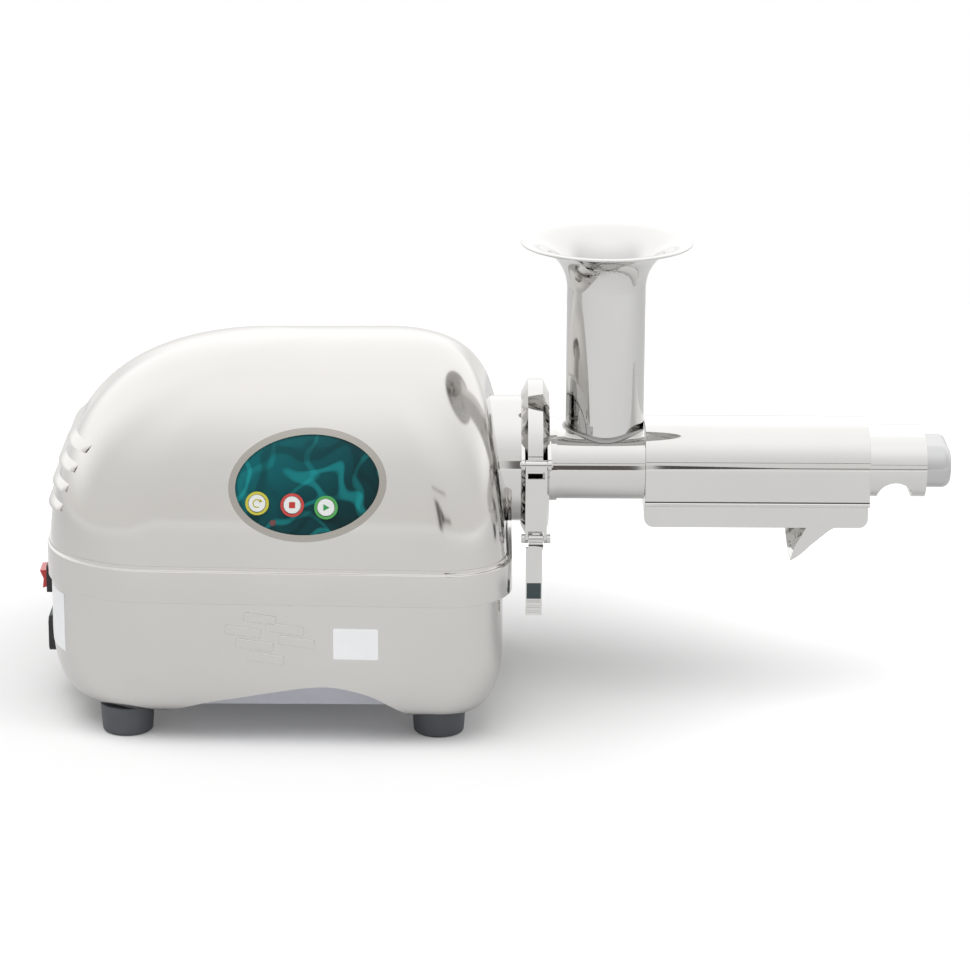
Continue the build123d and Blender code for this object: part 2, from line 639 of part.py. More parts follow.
# ------------------------------------------------------------------------------------ controls
def panel():
    """Oval control panel that follows the dome, with its three button rings and caps."""
    turn = Rot(0, 0, PANEL_ROLL)
    outer = turn * Ellipse(PANEL_HALF_LENGTH, PANEL_HALF_HEIGHT)
    inner = turn * Ellipse(PANEL_HALF_LENGTH - BEZEL_WIDTH, PANEL_HALF_HEIGHT - BEZEL_WIDTH)
    keep("panel_bezel", panel_cut(outer - inner) & (dome_solid(-BEZEL_PROUD) - dome_solid(0.0)))
    overlay = panel_cut(inner) & (dome_solid(-OVERLAY_PROUD) - dome_solid(0.0))
    for name, place in BUTTON_PLACES.items():
        overlay -= panel_cut(Pos(*place) * Circle(BUTTON_RING_RADIUS))
        collar = Circle(BUTTON_RING_RADIUS) - Circle(BUTTON_RADIUS + MOVE_GAP)
        ring = panel_prism(Pos(*place) * collar, RING_DEPTH, RING_PROUD) - dome_solid(0.0)
        keep(f"ring_{name}", ring)
        keep(f"button_{name}", panel_prism(Pos(*place) * Circle(BUTTON_RADIUS), BUTTON_DEPTH, BUTTON_PROUD))
    overlay -= panel_cut(Pos(*LENS_PLACE) * Circle(LENS_RADIUS + LENS_CLEARANCE))
    keep("panel_overlay", overlay)


def switch_cutout():
    """Opening for the rocker switch in the pan's end wall."""
    width = SWITCH_HALF_WIDTH - SWITCH_RIM
    height = SWITCH_HALF_HEIGHT - SWITCH_RIM / 2
    return brick(PAN_REAR_X - SPARE, PAN_REAR_X + SPARE, -width, width, SWITCH_Z - height, SWITCH_Z + height)


def inlet_cutout():
    """Opening for the power inlet in the pan's end wall."""
    return inlet_block(SOCKET_DEPTH, INLET_PROUD, INLET_RIM + RUN_CLEARANCE)


def inlet_block(depth, proud, rim):
    """Rounded block of the power inlet's outline, larger than its socket by the rim."""
    half_width, half_height = SOCKET_HALF_WIDTH + rim, SOCKET_HALF_HEIGHT + rim
    return end_block_shape(depth, proud, half_width, half_height, INLET_Z, SOCKET_ROUND + rim)


def controls():
    """Lamp lens and the circuit board with its switches, chip, capacitor, lamp and posts."""
    keep("power_lens", panel_prism(Pos(*LENS_PLACE) * Circle(LENS_RADIUS), LENS_DEPTH, LENS_PROUD))
    board = Pos(-BOARD_SHIFT, -BOARD_SHIFT) * RectangleRounded(BOARD_LENGTH, BOARD_HEIGHT, BOARD_ROUND)
    keep("control_board", panel_prism(board, BOARD_DEPTH + BOARD_SHEET, -BOARD_DEPTH))
    stem_top = BUTTON_DEPTH + BUTTON_TRAVEL + MOVE_GAP
    part_top = BOARD_PART_HEIGHT - BOARD_DEPTH
    parts = []
    for x, y in BUTTON_PLACES.values():
        square = Pos(x, y) * Rectangle(SWITCH_BODY, SWITCH_BODY)
        body = panel_prism(square, BOARD_DEPTH, SWITCH_BODY_HEIGHT - BOARD_DEPTH)
        stem = panel_prism(Pos(x, y) * Circle(SWITCH_STEM_RADIUS), BOARD_DEPTH, -stem_top)
        parts.append(body + stem)
    parts.append(panel_prism(Pos(*CHIP_PLACE) * Rectangle(*CHIP_SIZE), BOARD_DEPTH, part_top))
    parts.append(panel_prism(Pos(*BUFFER_PLACE) * Circle(BUFFER_RADIUS), BOARD_DEPTH, part_top))
    parts.append(panel_prism(Pos(*LENS_PLACE) * Circle(LENS_RADIUS), BOARD_DEPTH, -LENS_DEPTH - MOVE_GAP))
    keep("board_parts", *parts)
    posts = []
    for place in POST_PLACES:
        posts.append(panel_prism(Pos(*place) * Circle(POST_RADIUS), BOARD_DEPTH, SPARE) & dome_solid(SHEET))
    keep("board_posts", *posts)


def end_block_shape(depth, proud, half_width, half_height, z, corner):
    """Rounded block on the pan's end wall, from inside it to proud of it."""
    block = brick(PAN_REAR_X - proud, PAN_REAR_X + depth, -half_width, half_width,
                  z - half_height, z + half_height)
    return fillet(block.edges().filter_by(Axis.X), corner)


def rear_panel():
    """Rocker switch and power inlet on the pan's end wall."""
    frame = end_block_shape(0, SWITCH_PROUD, SWITCH_HALF_WIDTH, SWITCH_HALF_HEIGHT, SWITCH_Z, SWITCH_ROUND)
    can_width, can_height = SWITCH_HALF_WIDTH - SWITCH_RIM, SWITCH_HALF_HEIGHT - SWITCH_RIM / 2
    frame += end_block_shape(SWITCH_BODY_DEPTH, 0, can_width, can_height, SWITCH_Z, SWITCH_BODY_ROUND)
    well_width = SWITCH_HALF_WIDTH - SWITCH_SIDE
    well_height = SWITCH_HALF_HEIGHT - SWITCH_RIM
    frame -= brick(PAN_REAR_X - SWITCH_PROUD - SPARE, PAN_REAR_X + SWITCH_WELL, -well_width, well_width,
                   SWITCH_Z - well_height, SWITCH_Z + well_height)
    pivot_x = PAN_REAR_X - ROCKER_PIVOT
    pin = Plane(origin=(pivot_x, 0, SWITCH_Z), z_dir=(0, 1, 0)) * Circle(ROCKER_AXLE_RADIUS)
    frame -= extrude(pin, well_width + ROCKER_AXLE_SEAT, both=True)
    keep("switch_frame", frame)

    tilt = radians(ROCKER_TILT)
    tip = PAN_REAR_X - ROCKER_TIP_X - ROCKER_PIVOT
    half = ROCKER_HALF_HEIGHT
    corner = (tip - half * sin(tilt)) / cos(tilt)
    profile = Polyline((ROCKER_TAIL, 1 - half), (ROCKER_TAIL, half - 1), (-corner, half),
                       (ROCKER_DISH - corner, 0), (-corner, -half), close=True)
    paddle = extrude(Plane.XZ * make_face(profile), well_width - MOVE_GAP, both=True)
    axle = Plane.XZ * Circle(ROCKER_AXLE_RADIUS - RUN_CLEARANCE)
    paddle += extrude(axle, well_width + ROCKER_AXLE_SEAT - MOVE_GAP, both=True)
    keep("rocker", Pos(pivot_x, 0, SWITCH_Z) * Rot(0, -ROCKER_TILT, 0) * paddle)

    shroud = inlet_block(SOCKET_DEPTH + INLET_RIM, INLET_PROUD, INLET_RIM)
    keep("power_inlet", shroud - inlet_block(SOCKET_DEPTH, INLET_PROUD + SPARE, 0.0))
    pins = []
    for y, z in CONTACT_PLACES:
        z += INLET_Z
        pins.append(brick(PAN_REAR_X + CONTACT_HALF_WIDTH, PAN_REAR_X + SOCKET_DEPTH, y - CONTACT_HALF_WIDTH,
                          y + CONTACT_HALF_WIDTH, z - CONTACT_HALF_HEIGHT, z + CONTACT_HALF_HEIGHT))
    keep("inlet_pins", *pins)


# ------------------------------------------------------------------------------------ drive
def involute(angle):
    """Involute function of a pressure angle in radians."""
    return tan(angle) - angle


def gear_outline(pitch_radius, teeth, tip, root, pressure_angle, backlash, steps, phase=0.0):
    """Closed outline of an involute gear with a tooth centred on the phase angle (degrees)."""
    pressure = radians(pressure_angle)
    base = pitch_radius * cos(pressure)
    low = max(base, root)
    radii = [low + (tip - low) * i / (steps - 1) for i in range(steps)]
    foot_half = pi / (2 * teeth) + involute(pressure) - backlash / pitch_radius
    halves = [foot_half - involute(acos(base / r)) for r in radii]
    edges, last, first = [], None, None
    for k in range(teeth):
        middle = radians(phase) + 2 * pi * k / teeth
        rising = [polar(r, middle - h) for r, h in zip(radii, halves)]
        falling = [polar(r, middle + h) for r, h in zip(reversed(radii), reversed(halves))]
        foot_in, foot_out = polar(root, middle - halves[0]), polar(root, middle + halves[0])
        first = first or foot_in
        if last:
            edges.append(Line(last, foot_in))
        tooth = [flank(rising), Line(rising[-1], falling[0]), flank(falling)]
        if root < base:
            tooth = [Line(foot_in, rising[0]), *tooth, Line(falling[-1], foot_out)]
        edges += tooth
        last = foot_out
    edges.append(Line(last, first))
    return edges


def polar(radius, angle):
    """Point at a radius and an angle in radians."""
    return (radius * cos(angle), radius * sin(angle))


def flank(points):
    """Tooth flank: a smooth curve through four or more points, straight pieces through fewer."""
    return Spline(*points) if len(points) > 3 else Polyline(*points)


def spur_gear(module, teeth, x0, x1, y, z, phase):
    """Straight-toothed gear along X; phase is the direction of one tooth, from +Y towards +Z."""
    pitch = module * teeth / 2
    outline = gear_outline(pitch, teeth, pitch + 0.92 * module, pitch - 1.2 * module, GEAR_PRESSURE_ANGLE,
                           GEAR_BACKLASH * module, 3, phase)
    return along_x(make_face(outline), x0, x1, y, z)


def lay_place():
    """Height and side position of the lay shaft, set by the two centre distances."""
    first = FIRST_MODULE * (PINION_TEETH + LAY_TEETH) / 2
    second = SECOND_MODULE * (LAY_PINION_TEETH + OUTPUT_TEETH) / 2
    dy, dz = DRIVE_Y, AXIS_Z - MOTOR_Z
    span = hypot(dy, dz)
    along = (first**2 - second**2 + span**2) / (2 * span)
    across = sqrt(first**2 - along**2)
    return (dy * along + dz * across) / span, MOTOR_Z + (dz * along - dy * across) / span


def direction(y0, z0, y1, z1):
    """Angle of the line between two shafts, from +Y towards +Z, in degrees."""
    return degrees(atan2(z1 - z0, y1 - y0))


def bearing(x0, y, z, outer, inner):
    """Bearing ring that stands for both races and the balls."""
    return tube(outer, inner + RUN_CLEARANCE, x0, x0 + BEARING_WIDTH, y, z)


def motor():
    """Stator, coils, end bells, bearings, rotor and fan."""
    front_x = STACK_REAR_X + STACK_LENGTH
    bore = ROTOR_RADIUS + AIR_GAP
    keep("motor_stator", tube(MOTOR_RADIUS, bore, STACK_REAR_X, front_x, z=MOTOR_Z))
    coils = []
    for x in (STACK_REAR_X - COIL_LENGTH, front_x):
        coil = tube(MOTOR_RADIUS - COIL_INSET, bore + COIL_GAP, x, x + COIL_LENGTH, z=MOTOR_Z)
        coils.append(chamfer(coil.edges(), COIL_ROUND))
    keep("motor_coils", *coils)

    rear = bell(BELL_REAR_X, STACK_REAR_X, BELL_REAR_X)
    for k in range(BELL_HOLES):
        y, z = polar(BELL_HOLE_CIRCLE, 2 * pi * k / BELL_HOLES)
        rear -= rod(BELL_HOLE_RADIUS, BELL_REAR_X - SPARE, STACK_REAR_X, y, MOTOR_Z + z)
    keep("motor_bell_rear", rear)
    keep("motor_bell_front", bell(front_x, GEARBOX_REAR_X, GEARBOX_REAR_X - BELL_WALL))
    front_seat = GEARBOX_REAR_X - BELL_WALL - BEARING_WIDTH
    keep("motor_bearings",
         bearing(BELL_REAR_X + BELL_WALL, 0, MOTOR_Z, MOTOR_BEARING_RADIUS, SHAFT_RADIUS),
         bearing(front_seat, 0, MOTOR_Z, MOTOR_BEARING_RADIUS, SHAFT_RADIUS))

    shaft = rod(SHAFT_RADIUS, SHAFT_REAR_X, GEARBOX_REAR_X, z=MOTOR_Z)
    shaft += rod(PINION_SHAFT_RADIUS, GEARBOX_REAR_X, GEARBOX_REAR_X + PINION_SHAFT_LENGTH, z=MOTOR_Z)
    core = rod(ROTOR_RADIUS, STACK_REAR_X - ROTOR_OVERHANG, front_x + ROTOR_OVERHANG, z=MOTOR_Z)
    keep("rotor", shaft + core)
    fan_x = SHAFT_REAR_X + FAN_INSET
    disc_x = fan_x + FAN_WIDTH
    fan = tube(FAN_HUB_RADIUS, SHAFT_RADIUS, fan_x, disc_x + FAN_DISC, z=MOTOR_Z)
    fan += tube(FAN_RADIUS, SHAFT_RADIUS, disc_x, disc_x + FAN_DISC, z=MOTOR_Z)
    middle = FAN_RADIUS - FAN_BLADE_LENGTH / 2 - FAN_BLADE_INSET
    blade = Rot(0, 0, FAN_BLADE_TURN) * Rectangle(FAN_BLADE_LENGTH, FAN_BLADE_SHEET)
    shape = Pos(middle, FAN_BLADE_OFFSET) * blade
    for k in range(FAN_BLADES):
        fan += along_x(Rot(0, 0, 360 * k / FAN_BLADES) * shape, fan_x, disc_x, z=MOTOR_Z)
    keep("cooling_fan", fan)


def bell(x0, x1, wall_x):
    """Motor end bell: a short can with an end wall and a hub that seats the bearing."""
    if wall_x > x0:
        hub_x = wall_x - BEARING_WIDTH
    else:
        hub_x = wall_x + BELL_WALL
    body = tube(MOTOR_RADIUS, MOTOR_RADIUS - BELL_RIM, x0, x1, z=MOTOR_Z)
    body += tube(MOTOR_RADIUS, MOTOR_BEARING_RADIUS, wall_x, wall_x + BELL_WALL, z=MOTOR_Z)
    return body + tube(BELL_HUB_RADIUS, MOTOR_BEARING_RADIUS, hub_x, hub_x + BEARING_WIDTH, z=MOTOR_Z)


def motor_supports():
    """Cradle under the motor, and the run capacitor in its clip beside it."""
    front_x = STACK_REAR_X + STACK_LENGTH
    x0, x1 = STACK_REAR_X + CRADLE_INSET, front_x - CRADLE_INSET
    half = CRADLE_HALF_WIDTH
    cradle = brick(x0, x1, -half, half, DECK_Z, DECK_Z + CRADLE_SHEET)
    for x in (x0, x1 - CRADLE_RIB):
        cradle += brick(x, x + CRADLE_RIB, -half, half, DECK_Z, MOTOR_Z - CRADLE_DROP)
    keep("motor_cradle", cradle - rod(MOTOR_RADIUS, STACK_REAR_X, front_x, z=MOTOR_Z))

    can_x = STACK_REAR_X - CAPACITOR_REAR
    can_end = can_x + CAPACITOR_LENGTH
    can_z = DECK_Z + CLIP_SHEET + CAPACITOR_RADIUS
    can = rod(CAPACITOR_RADIUS, can_x, can_end, CAPACITOR_Y, can_z)
    terminal = rod(CAPACITOR_TERMINAL_RADIUS, can_end, can_end + CAPACITOR_TERMINAL, CAPACITOR_Y, can_z)
    keep("run_capacitor", can + terminal)
    clip_x = can_x + CLIP_INSET
    clip_end = clip_x + CLIP_WIDTH
    y0, y1 = CAPACITOR_Y - CLIP_MOUTH, CAPACITOR_Y + CLIP_MOUTH
    clip = tube(CAPACITOR_RADIUS + CLIP_SHEET, CAPACITOR_RADIUS, clip_x, clip_end, CAPACITOR_Y, can_z)
    clip -= brick(clip_x - 1, clip_end + 1, y0, y1, can_z + CLIP_MOUTH_Z, can_z + 2 * CAPACITOR_RADIUS)
    keep("capacitor_clip", clip + brick(clip_x, clip_end, y0, y1, DECK_Z, DECK_Z + CLIP_FOOT))


def case_outline(shrink):
    """Section of the gear case: a belt round the output gear, the neck, the lay gear and the pinion."""
    lay_y, lay_z = lay_place()
    places = (
        (DRIVE_Y, 0.0, GEARBOX_REACH),
        (0.0, 0.0, NECK_RADIUS + GEARBOX_NECK_REACH),
        (lay_y, lay_z - AXIS_Z, GEARBOX_LAY_REACH),
        (0.0, MOTOR_Z - AXIS_Z, GEARBOX_PINION_REACH),
    )
    circles = [Pos(y, z) * Circle(r - shrink) for y, z, r in places]
    return make_hull([edge for circle in circles for edge in circle.edges()])


def gear_case():
    """Case with its feet, cover and bearings."""
    lay_y, lay_z = lay_place()
    rear_x, front_x = GEARBOX_REAR_X, GEARBOX_FRONT_X - GEARBOX_WALL
    seat_x = rear_x + BEARING_FLOOR
    boss, lay_boss = BEARING_RADIUS + BOSS_WALL, LAY_BEARING_RADIUS + BOSS_WALL
    case = along_x(case_outline(0), rear_x, front_x)
    case -= along_x(case_outline(GEARBOX_WALL), rear_x + GEARBOX_WALL, front_x)
    case += rod(boss, rear_x, seat_x + BEARING_WIDTH, DRIVE_Y)
    case += rod(lay_boss, rear_x, seat_x + BEARING_WIDTH, lay_y, lay_z)
    case -= rod(BEARING_RADIUS, seat_x, front_x, DRIVE_Y)
    case -= rod(LAY_BEARING_RADIUS, seat_x, front_x, lay_y, lay_z)
    pinion_room = FIRST_MODULE * (PINION_TEETH / 2 + 2)
    case -= rod(pinion_room, rear_x - SPARE, front_x, 0, MOTOR_Z)
    foot = brick(rear_x + GEARBOX_FOOT_INSET, front_x - GEARBOX_FOOT_INSET, -GEARBOX_FOOT_HALF,
                 GEARBOX_FOOT_HALF, DECK_Z, MOTOR_Z - GEARBOX_FOOT_DROP)
    tray_end = TRAY_MID_X + TRAY_HALF_LENGTH - SHEET
    foot += brick(rear_x + GEARBOX_PLATE_INSET, tray_end - GEARBOX_PLATE_INSET, -GEARBOX_PLATE_HALF,
                  GEARBOX_PLATE_HALF, DECK_Z, DECK_Z + GEARBOX_PLATE_SHEET)
    keep("gearbox_case", case + foot)

    cover = along_x(case_outline(0), front_x, GEARBOX_FRONT_X)
    cover += rod(boss, front_x, front_x + BEARING_WIDTH + BEARING_FLOOR, DRIVE_Y)
    cover += rod(lay_boss, front_x - BEARING_WIDTH, front_x, lay_y, lay_z)
    cover -= rod(BEARING_RADIUS, front_x - SPARE, front_x + BEARING_WIDTH, DRIVE_Y)
    cover -= rod(OUTPUT_SHAFT_RADIUS + MOVE_GAP, front_x, GEARBOX_FRONT_X + BEARING_WIDTH, DRIVE_Y)
    cover -= rod(LAY_BEARING_RADIUS, front_x - BEARING_WIDTH, front_x + BEARING_FLOOR, lay_y, lay_z)
    for y, z in neck_bolt_places():
        cover -= rod(NECK_BOLT_RADIUS, front_x - SPARE, GEARBOX_FRONT_X + SPARE, y, AXIS_Z + z)
    keep("gearbox_cover", cover)
    keep("gearbox_bearings",
         bearing(seat_x, DRIVE_Y, AXIS_Z, BEARING_RADIUS, OUTPUT_SHAFT_RADIUS),
         bearing(seat_x, lay_y, lay_z, LAY_BEARING_RADIUS, LAY_SHAFT_RADIUS),
         bearing(front_x, DRIVE_Y, AXIS_Z, BEARING_RADIUS, OUTPUT_SHAFT_RADIUS),
         bearing(front_x - BEARING_WIDTH, lay_y, lay_z, LAY_BEARING_RADIUS, LAY_SHAFT_RADIUS))


def gear_train():
    """Motor pinion, lay gear with its own pinion, output gear and the output shaft's coupling."""
    lay_y, lay_z = lay_place()
    rear_x, front_x = GEARBOX_REAR_X, GEARBOX_FRONT_X - GEARBOX_WALL
    shaft_x = rear_x + BEARING_FLOOR + MOVE_GAP
    first_x = rear_x + BEARING_FLOOR + BEARING_WIDTH + GEAR_SIDE_GAP
    second_x = front_x - BEARING_WIDTH - FACE_WIDTH
    to_lay = direction(0, MOTOR_Z, lay_y, lay_z)
    to_output = direction(lay_y, lay_z, DRIVE_Y, AXIS_Z)
    pinion = spur_gear(FIRST_MODULE, PINION_TEETH, first_x - GEAR_OVERLAP,
                       first_x + FACE_WIDTH + GEAR_OVERLAP, 0, MOTOR_Z, to_lay)
    keep("motor_pinion", pinion - rod(PINION_SHAFT_RADIUS, rear_x, front_x, 0, MOTOR_Z))
    lay = spur_gear(FIRST_MODULE, LAY_TEETH, first_x, first_x + FACE_WIDTH, lay_y, lay_z,
                    to_lay + 180 + 180 / LAY_TEETH)
    lay += spur_gear(SECOND_MODULE, LAY_PINION_TEETH, second_x - GEAR_OVERLAP,
                     second_x + FACE_WIDTH - MOVE_GAP, lay_y, lay_z, to_output)
    lay += rod(LAY_SHAFT_RADIUS, shaft_x, front_x, lay_y, lay_z)
    for k in range(LIGHTENING_HOLES):
        y, z = polar(LIGHTENING_CIRCLE, 2 * pi * k / LIGHTENING_HOLES)
        lay -= rod(LIGHTENING_RADIUS, first_x - SPARE, first_x + FACE_WIDTH + SPARE, lay_y + y, lay_z + z)
    keep("lay_gear", lay)
    output = spur_gear(SECOND_MODULE, OUTPUT_TEETH, second_x, second_x + FACE_WIDTH - GEAR_OVERLAP, DRIVE_Y,
                       AXIS_Z, to_output + 180 + 180 / OUTPUT_TEETH)
    keep("output_gear", output - rod(OUTPUT_SHAFT_RADIUS, rear_x, front_x, DRIVE_Y))
    coupling_x = GEARBOX_FRONT_X + COUPLING_START
    shaft = rod(OUTPUT_SHAFT_RADIUS, shaft_x, coupling_x, DRIVE_Y)
    shaft += rod(COUPLING_RADIUS, coupling_x, COUPLING_END_X, DRIVE_Y)
    socket_x = GEARBOX_FRONT_X + SOCKET_END - MOVE_GAP
    shaft -= along_x(hexagon(HEX_FLATS), socket_x, COUPLING_END_X + SPARE, DRIVE_Y)
    keep("output_shaft", shaft)


def hexagon(flats):
    """Hexagon across the machine, by the distance over its flats."""
    return RegularPolygon(flats / sqrt(3), 6)


def neck_bolt_places():
    """Places of the neck's bolts about the head axis."""
    return [polar(NECK_BOLT_CIRCLE, radians(a)) for a in (45, 135, 225, 315)]


# ------------------------------------------------------------------------------------ head
def turned(points, y=0.0, z=AXIS_Z):
    """Body of revolution about an axis along X from (x, radius) points."""
    profile = make_face(Polyline(*points, close=True))
    return Pos(0, y, z) * revolve(Plane.XY * profile, Axis.X)


def neck():
    """Tube that carries the head, its bolts and its face seal."""
    inner_x = GEARBOX_FRONT_X
    plate_x = inner_x + NECK_PLATE
    plate_radius = NECK_RADIUS + NECK_PLATE_REACH
    lip_x = NECK_END_X - FLANGE_THICKNESS
    body = turned([
        (inner_x, NECK_BORE), (inner_x, plate_radius), (plate_x, plate_radius), (plate_x, NECK_RADIUS),
        (lip_x - FLANGE_RAMP, NECK_RADIUS), (lip_x, FLANGE_RADIUS - FLANGE_BEVEL),
        (lip_x + FLANGE_LAND, FLANGE_RADIUS), (NECK_END_X, FLANGE_RADIUS), (NECK_END_X, NECK_BORE),
    ])
    bolts = []
    for y, z in neck_bolt_places():
        body -= rod(NECK_BOLT_RADIUS, inner_x - SPARE, plate_x + SPARE, y, AXIS_Z + z)
        head = rod(BOLT_HEAD_RADIUS, plate_x, plate_x + BOLT_HEAD_HEIGHT, y, AXIS_Z + z)
        shank = rod(NECK_BOLT_RADIUS - BOLT_CLEARANCE, inner_x - GEARBOX_WALL, plate_x, y, AXIS_Z + z)
        bolts.append(head + shank)
    keep("neck", body)
    keep("neck_bolts", *bolts)
    keep("neck_seal", tube(FLANGE_RADIUS - SEAL_INSET, NECK_BORE + SEAL_INSET, NECK_END_X, BARREL_FLANGE_X))


def barrel_blank():
    """Outside of the feed barrel, without its bores."""
    flange_end = BARREL_FLANGE_X + FLANGE_THICKNESS
    blank = turned([
        (BARREL_FLANGE_X, 0), (BARREL_FLANGE_X, FLANGE_RADIUS), (flange_end - FLANGE_LAND, FLANGE_RADIUS),
        (flange_end, FLANGE_RADIUS - FLANGE_BEVEL), (flange_end + FLANGE_RAMP, NECK_RADIUS),
        (COLLAR_X, NECK_RADIUS), (COLLAR_X, 0),
    ])
    collar = along_x(oblong(BARREL_RADIUS + COLLAR_RISE), COLLAR_X, COLLAR_X + COLLAR_LENGTH)
    return blank + collar + along_x(oblong(BARREL_RADIUS), COLLAR_X, BARREL_END_X)


def upright(radius, z0, z1):
    """Round bar along Z on the hopper's axis."""
    return Pos(HOPPER_X, 0, (z0 + z1) / 2) * Cylinder(radius, z1 - z0)


def barrel():
    """Feed barrel with the two auger bores, and the bushes that carry the augers' journals."""
    bush = JOURNAL_BORE + BUSH_WALL
    body = barrel_blank() - along_x(twin_bore(AUGER_BORE), BARREL_WALL_X, BARREL_END_X)
    body -= along_x(twin_bore(bush), BARREL_FLANGE_X, BARREL_WALL_X)
    keep("feed_barrel", body - upright(THROAT_RADIUS + THROAT_RELIEF, AXIS_Z, AXIS_Z + 2 * BARREL_RADIUS))
    start = BARREL_FLANGE_X + FLANGE_SETBACK
    keep("auger_bushes", *[tube(bush, JOURNAL_BORE, start, BARREL_WALL_X, y) for y in (DRIVE_Y, -DRIVE_Y)])


def hopper():
    """Straight feed tube welded on the barrel, with a trumpet mouth."""
    flare_z = HOPPER_RIM_Z - HOPPER_WALL - HOPPER_FLARE
    rim = HOPPER_RADIUS + HOPPER_FLARE
    section = [
        Line((HOPPER_RADIUS, AXIS_Z), (HOPPER_RADIUS, flare_z)),
        CenterArc((rim, flare_z), HOPPER_FLARE, 180, -90),
        Line((rim, flare_z + HOPPER_FLARE), (rim, HOPPER_RIM_Z)),
        CenterArc((rim, flare_z), HOPPER_FLARE + HOPPER_WALL, 90, 90),
        Line((THROAT_RADIUS, flare_z), (THROAT_RADIUS, AXIS_Z)),
        Line((THROAT_RADIUS, AXIS_Z), (HOPPER_RADIUS, AXIS_Z)),
    ]
    funnel = Pos(HOPPER_X, 0, 0) * revolve(Plane.XZ * make_face(section), Axis.Z)
    keep("hopper", funnel - along_x(oblong(BARREL_RADIUS), COLLAR_X, BARREL_END_X))


def screen():
    """Juicing screen: a twin-bored sleeve with rows of cross slots along its underside."""
    body = along_x(oblong(SCREEN_RADIUS), BARREL_END_X, SCREEN_END_X)
    body -= along_x(twin_bore(AUGER_BORE), BARREL_END_X, SCREEN_END_X)
    zone_pitch = (SCREEN_END_X - BARREL_END_X - SCREEN_LAND) / SCREEN_ZONES
    half = SCREEN_SLOT_HALF
    for zone in range(SCREEN_ZONES):
        start = BARREL_END_X + SCREEN_LAND + zone * zone_pitch
        for row in range(SCREEN_SLOTS):
            x = start + SCREEN_SLOT_PITCH * row
            for y in (-HALF_SPACING, HALF_SPACING):
                body -= brick(x, x + SCREEN_SLOT, y - half, y + half, AXIS_Z - SCREEN_RADIUS - SPARE,
                              AXIS_Z - SCREEN_SLOT_TOP)
    keep("screen", body)


def end_pieces():
    """End block with the pulp notch through its underside, and the rounded cap."""
    wall_x = BLOCK_END_X - BLOCK_WALL
    block = along_x(oblong(SCREEN_RADIUS), SCREEN_END_X, BLOCK_END_X)
    block -= along_x(twin_bore(AUGER_BORE), SCREEN_END_X, wall_x)
    block -= along_x(twin_bore(JOURNAL_BORE), wall_x, BLOCK_END_X)
    notch_z = AXIS_Z - NOTCH_TOP - NOTCH_RADIUS
    reach = HALF_SPACING + 2 * SCREEN_RADIUS
    notch = Pos(NOTCH_X, 0, notch_z) * Rot(90, 0, 0) * Cylinder(NOTCH_RADIUS, 2 * reach)
    notch += brick(NOTCH_X - NOTCH_RADIUS, NOTCH_X + NOTCH_RADIUS, -reach, reach,
                   AXIS_Z - 2 * SCREEN_RADIUS, notch_z)
    keep("end_block", block - notch)
    cap = along_x(oblong(CAP_RADIUS), BLOCK_END_X, CAP_END_X)
    cap = fillet(cap.faces().sort_by(Axis.X)[-1].edges(), CAP_ROUND)
    keep("end_cap", cap - along_x(twin_bore(JOURNAL_BORE), BLOCK_END_X, AUGER_END_X + MOVE_GAP))


def lobe_outline(teeth, phase):
    """Feed screw section: epicycloid lobes and hypocycloid hollows that roll on one pitch circle."""
    roll = HALF_SPACING / (2 * teeth)
    shrink = HALF_SPACING + 2 * roll - AUGER_TIP_RADIUS
    step = pi / teeth
    edges = []
    for k in range(2 * teeth):
        sign = 1 if k % 2 == 0 else -1
        centre = HALF_SPACING + sign * roll
        points = []
        for i in range(7):
            turn = step * i / 6
            spin = centre / roll * turn
            x = centre * cos(turn) - sign * roll * cos(spin)
            y = centre * sin(turn) - roll * sin(spin)
            points.append(polar(hypot(x, y) - shrink, atan2(y, x) + step * (k - 0.5) + radians(phase)))
        edges.append(Spline(*points))
    return edges


def auger(y, hand, tang):
    """Auger built end to end: hexagon tang, journal, coarse feed stage, two geared stages, journal."""
    start = BARREL_FLANGE_X + FLANGE_SETBACK
    body = rod(AUGER_JOURNAL, start, AUGER_STAGES[0][0], y)
    for k, (x0, x1, teeth, lead) in enumerate(AUGER_STAGES):
        phase = 0.0 if hand > 0 else 180 + 180 / teeth
        if teeth <= 4:
            outline = lobe_outline(teeth, phase)
        else:
            outline = gear_outline(HALF_SPACING, teeth, AUGER_TIP_RADIUS, AUGER_ROOT_RADIUS,
                                   AUGER_PRESSURE_ANGLE, AUGER_BACKLASH, 4, phase)
        wire = (at_x(x0, y) * make_face(outline)).face().outer_wire()
        length = x1 - x0
        turn = hand * 360 * length / lead
        body += Solid.extrude_linear_with_rotation(wire, (x0, y, AXIS_Z), (length, 0, 0), turn)
        if k + 1 < len(AUGER_STAGES):
            body += rod(AUGER_ROOT_RADIUS, x1, AUGER_STAGES[k + 1][0], y)
        else:
            body += rod(AUGER_JOURNAL, x1, AUGER_END_X, y)
    if tang:
        body += along_x(hexagon(HEX_FLATS - 2 * RUN_CLEARANCE), GEARBOX_FRONT_X + SOCKET_END, start, y)
    return body


def augers():
    """The two meshing augers."""
    keep("drive_auger", auger(DRIVE_Y, 1, True))
    keep("idler_auger", auger(-DRIVE_Y, -1, False))


# ------------------------------------------------------------------------------------ juice cover
def cover_outline(shrink):
    """Section of the hood: round shoulders over straight sides, without the tray."""
    radius = COVER_RADIUS - shrink
    width = 2 * (COVER_HALF_WIDTH - shrink)
    arch = oblong(radius, COVER_HALF_WIDTH - COVER_RADIUS)
    return arch + Pos(0, -COVER_STEP / 2) * Rectangle(width, COVER_STEP)


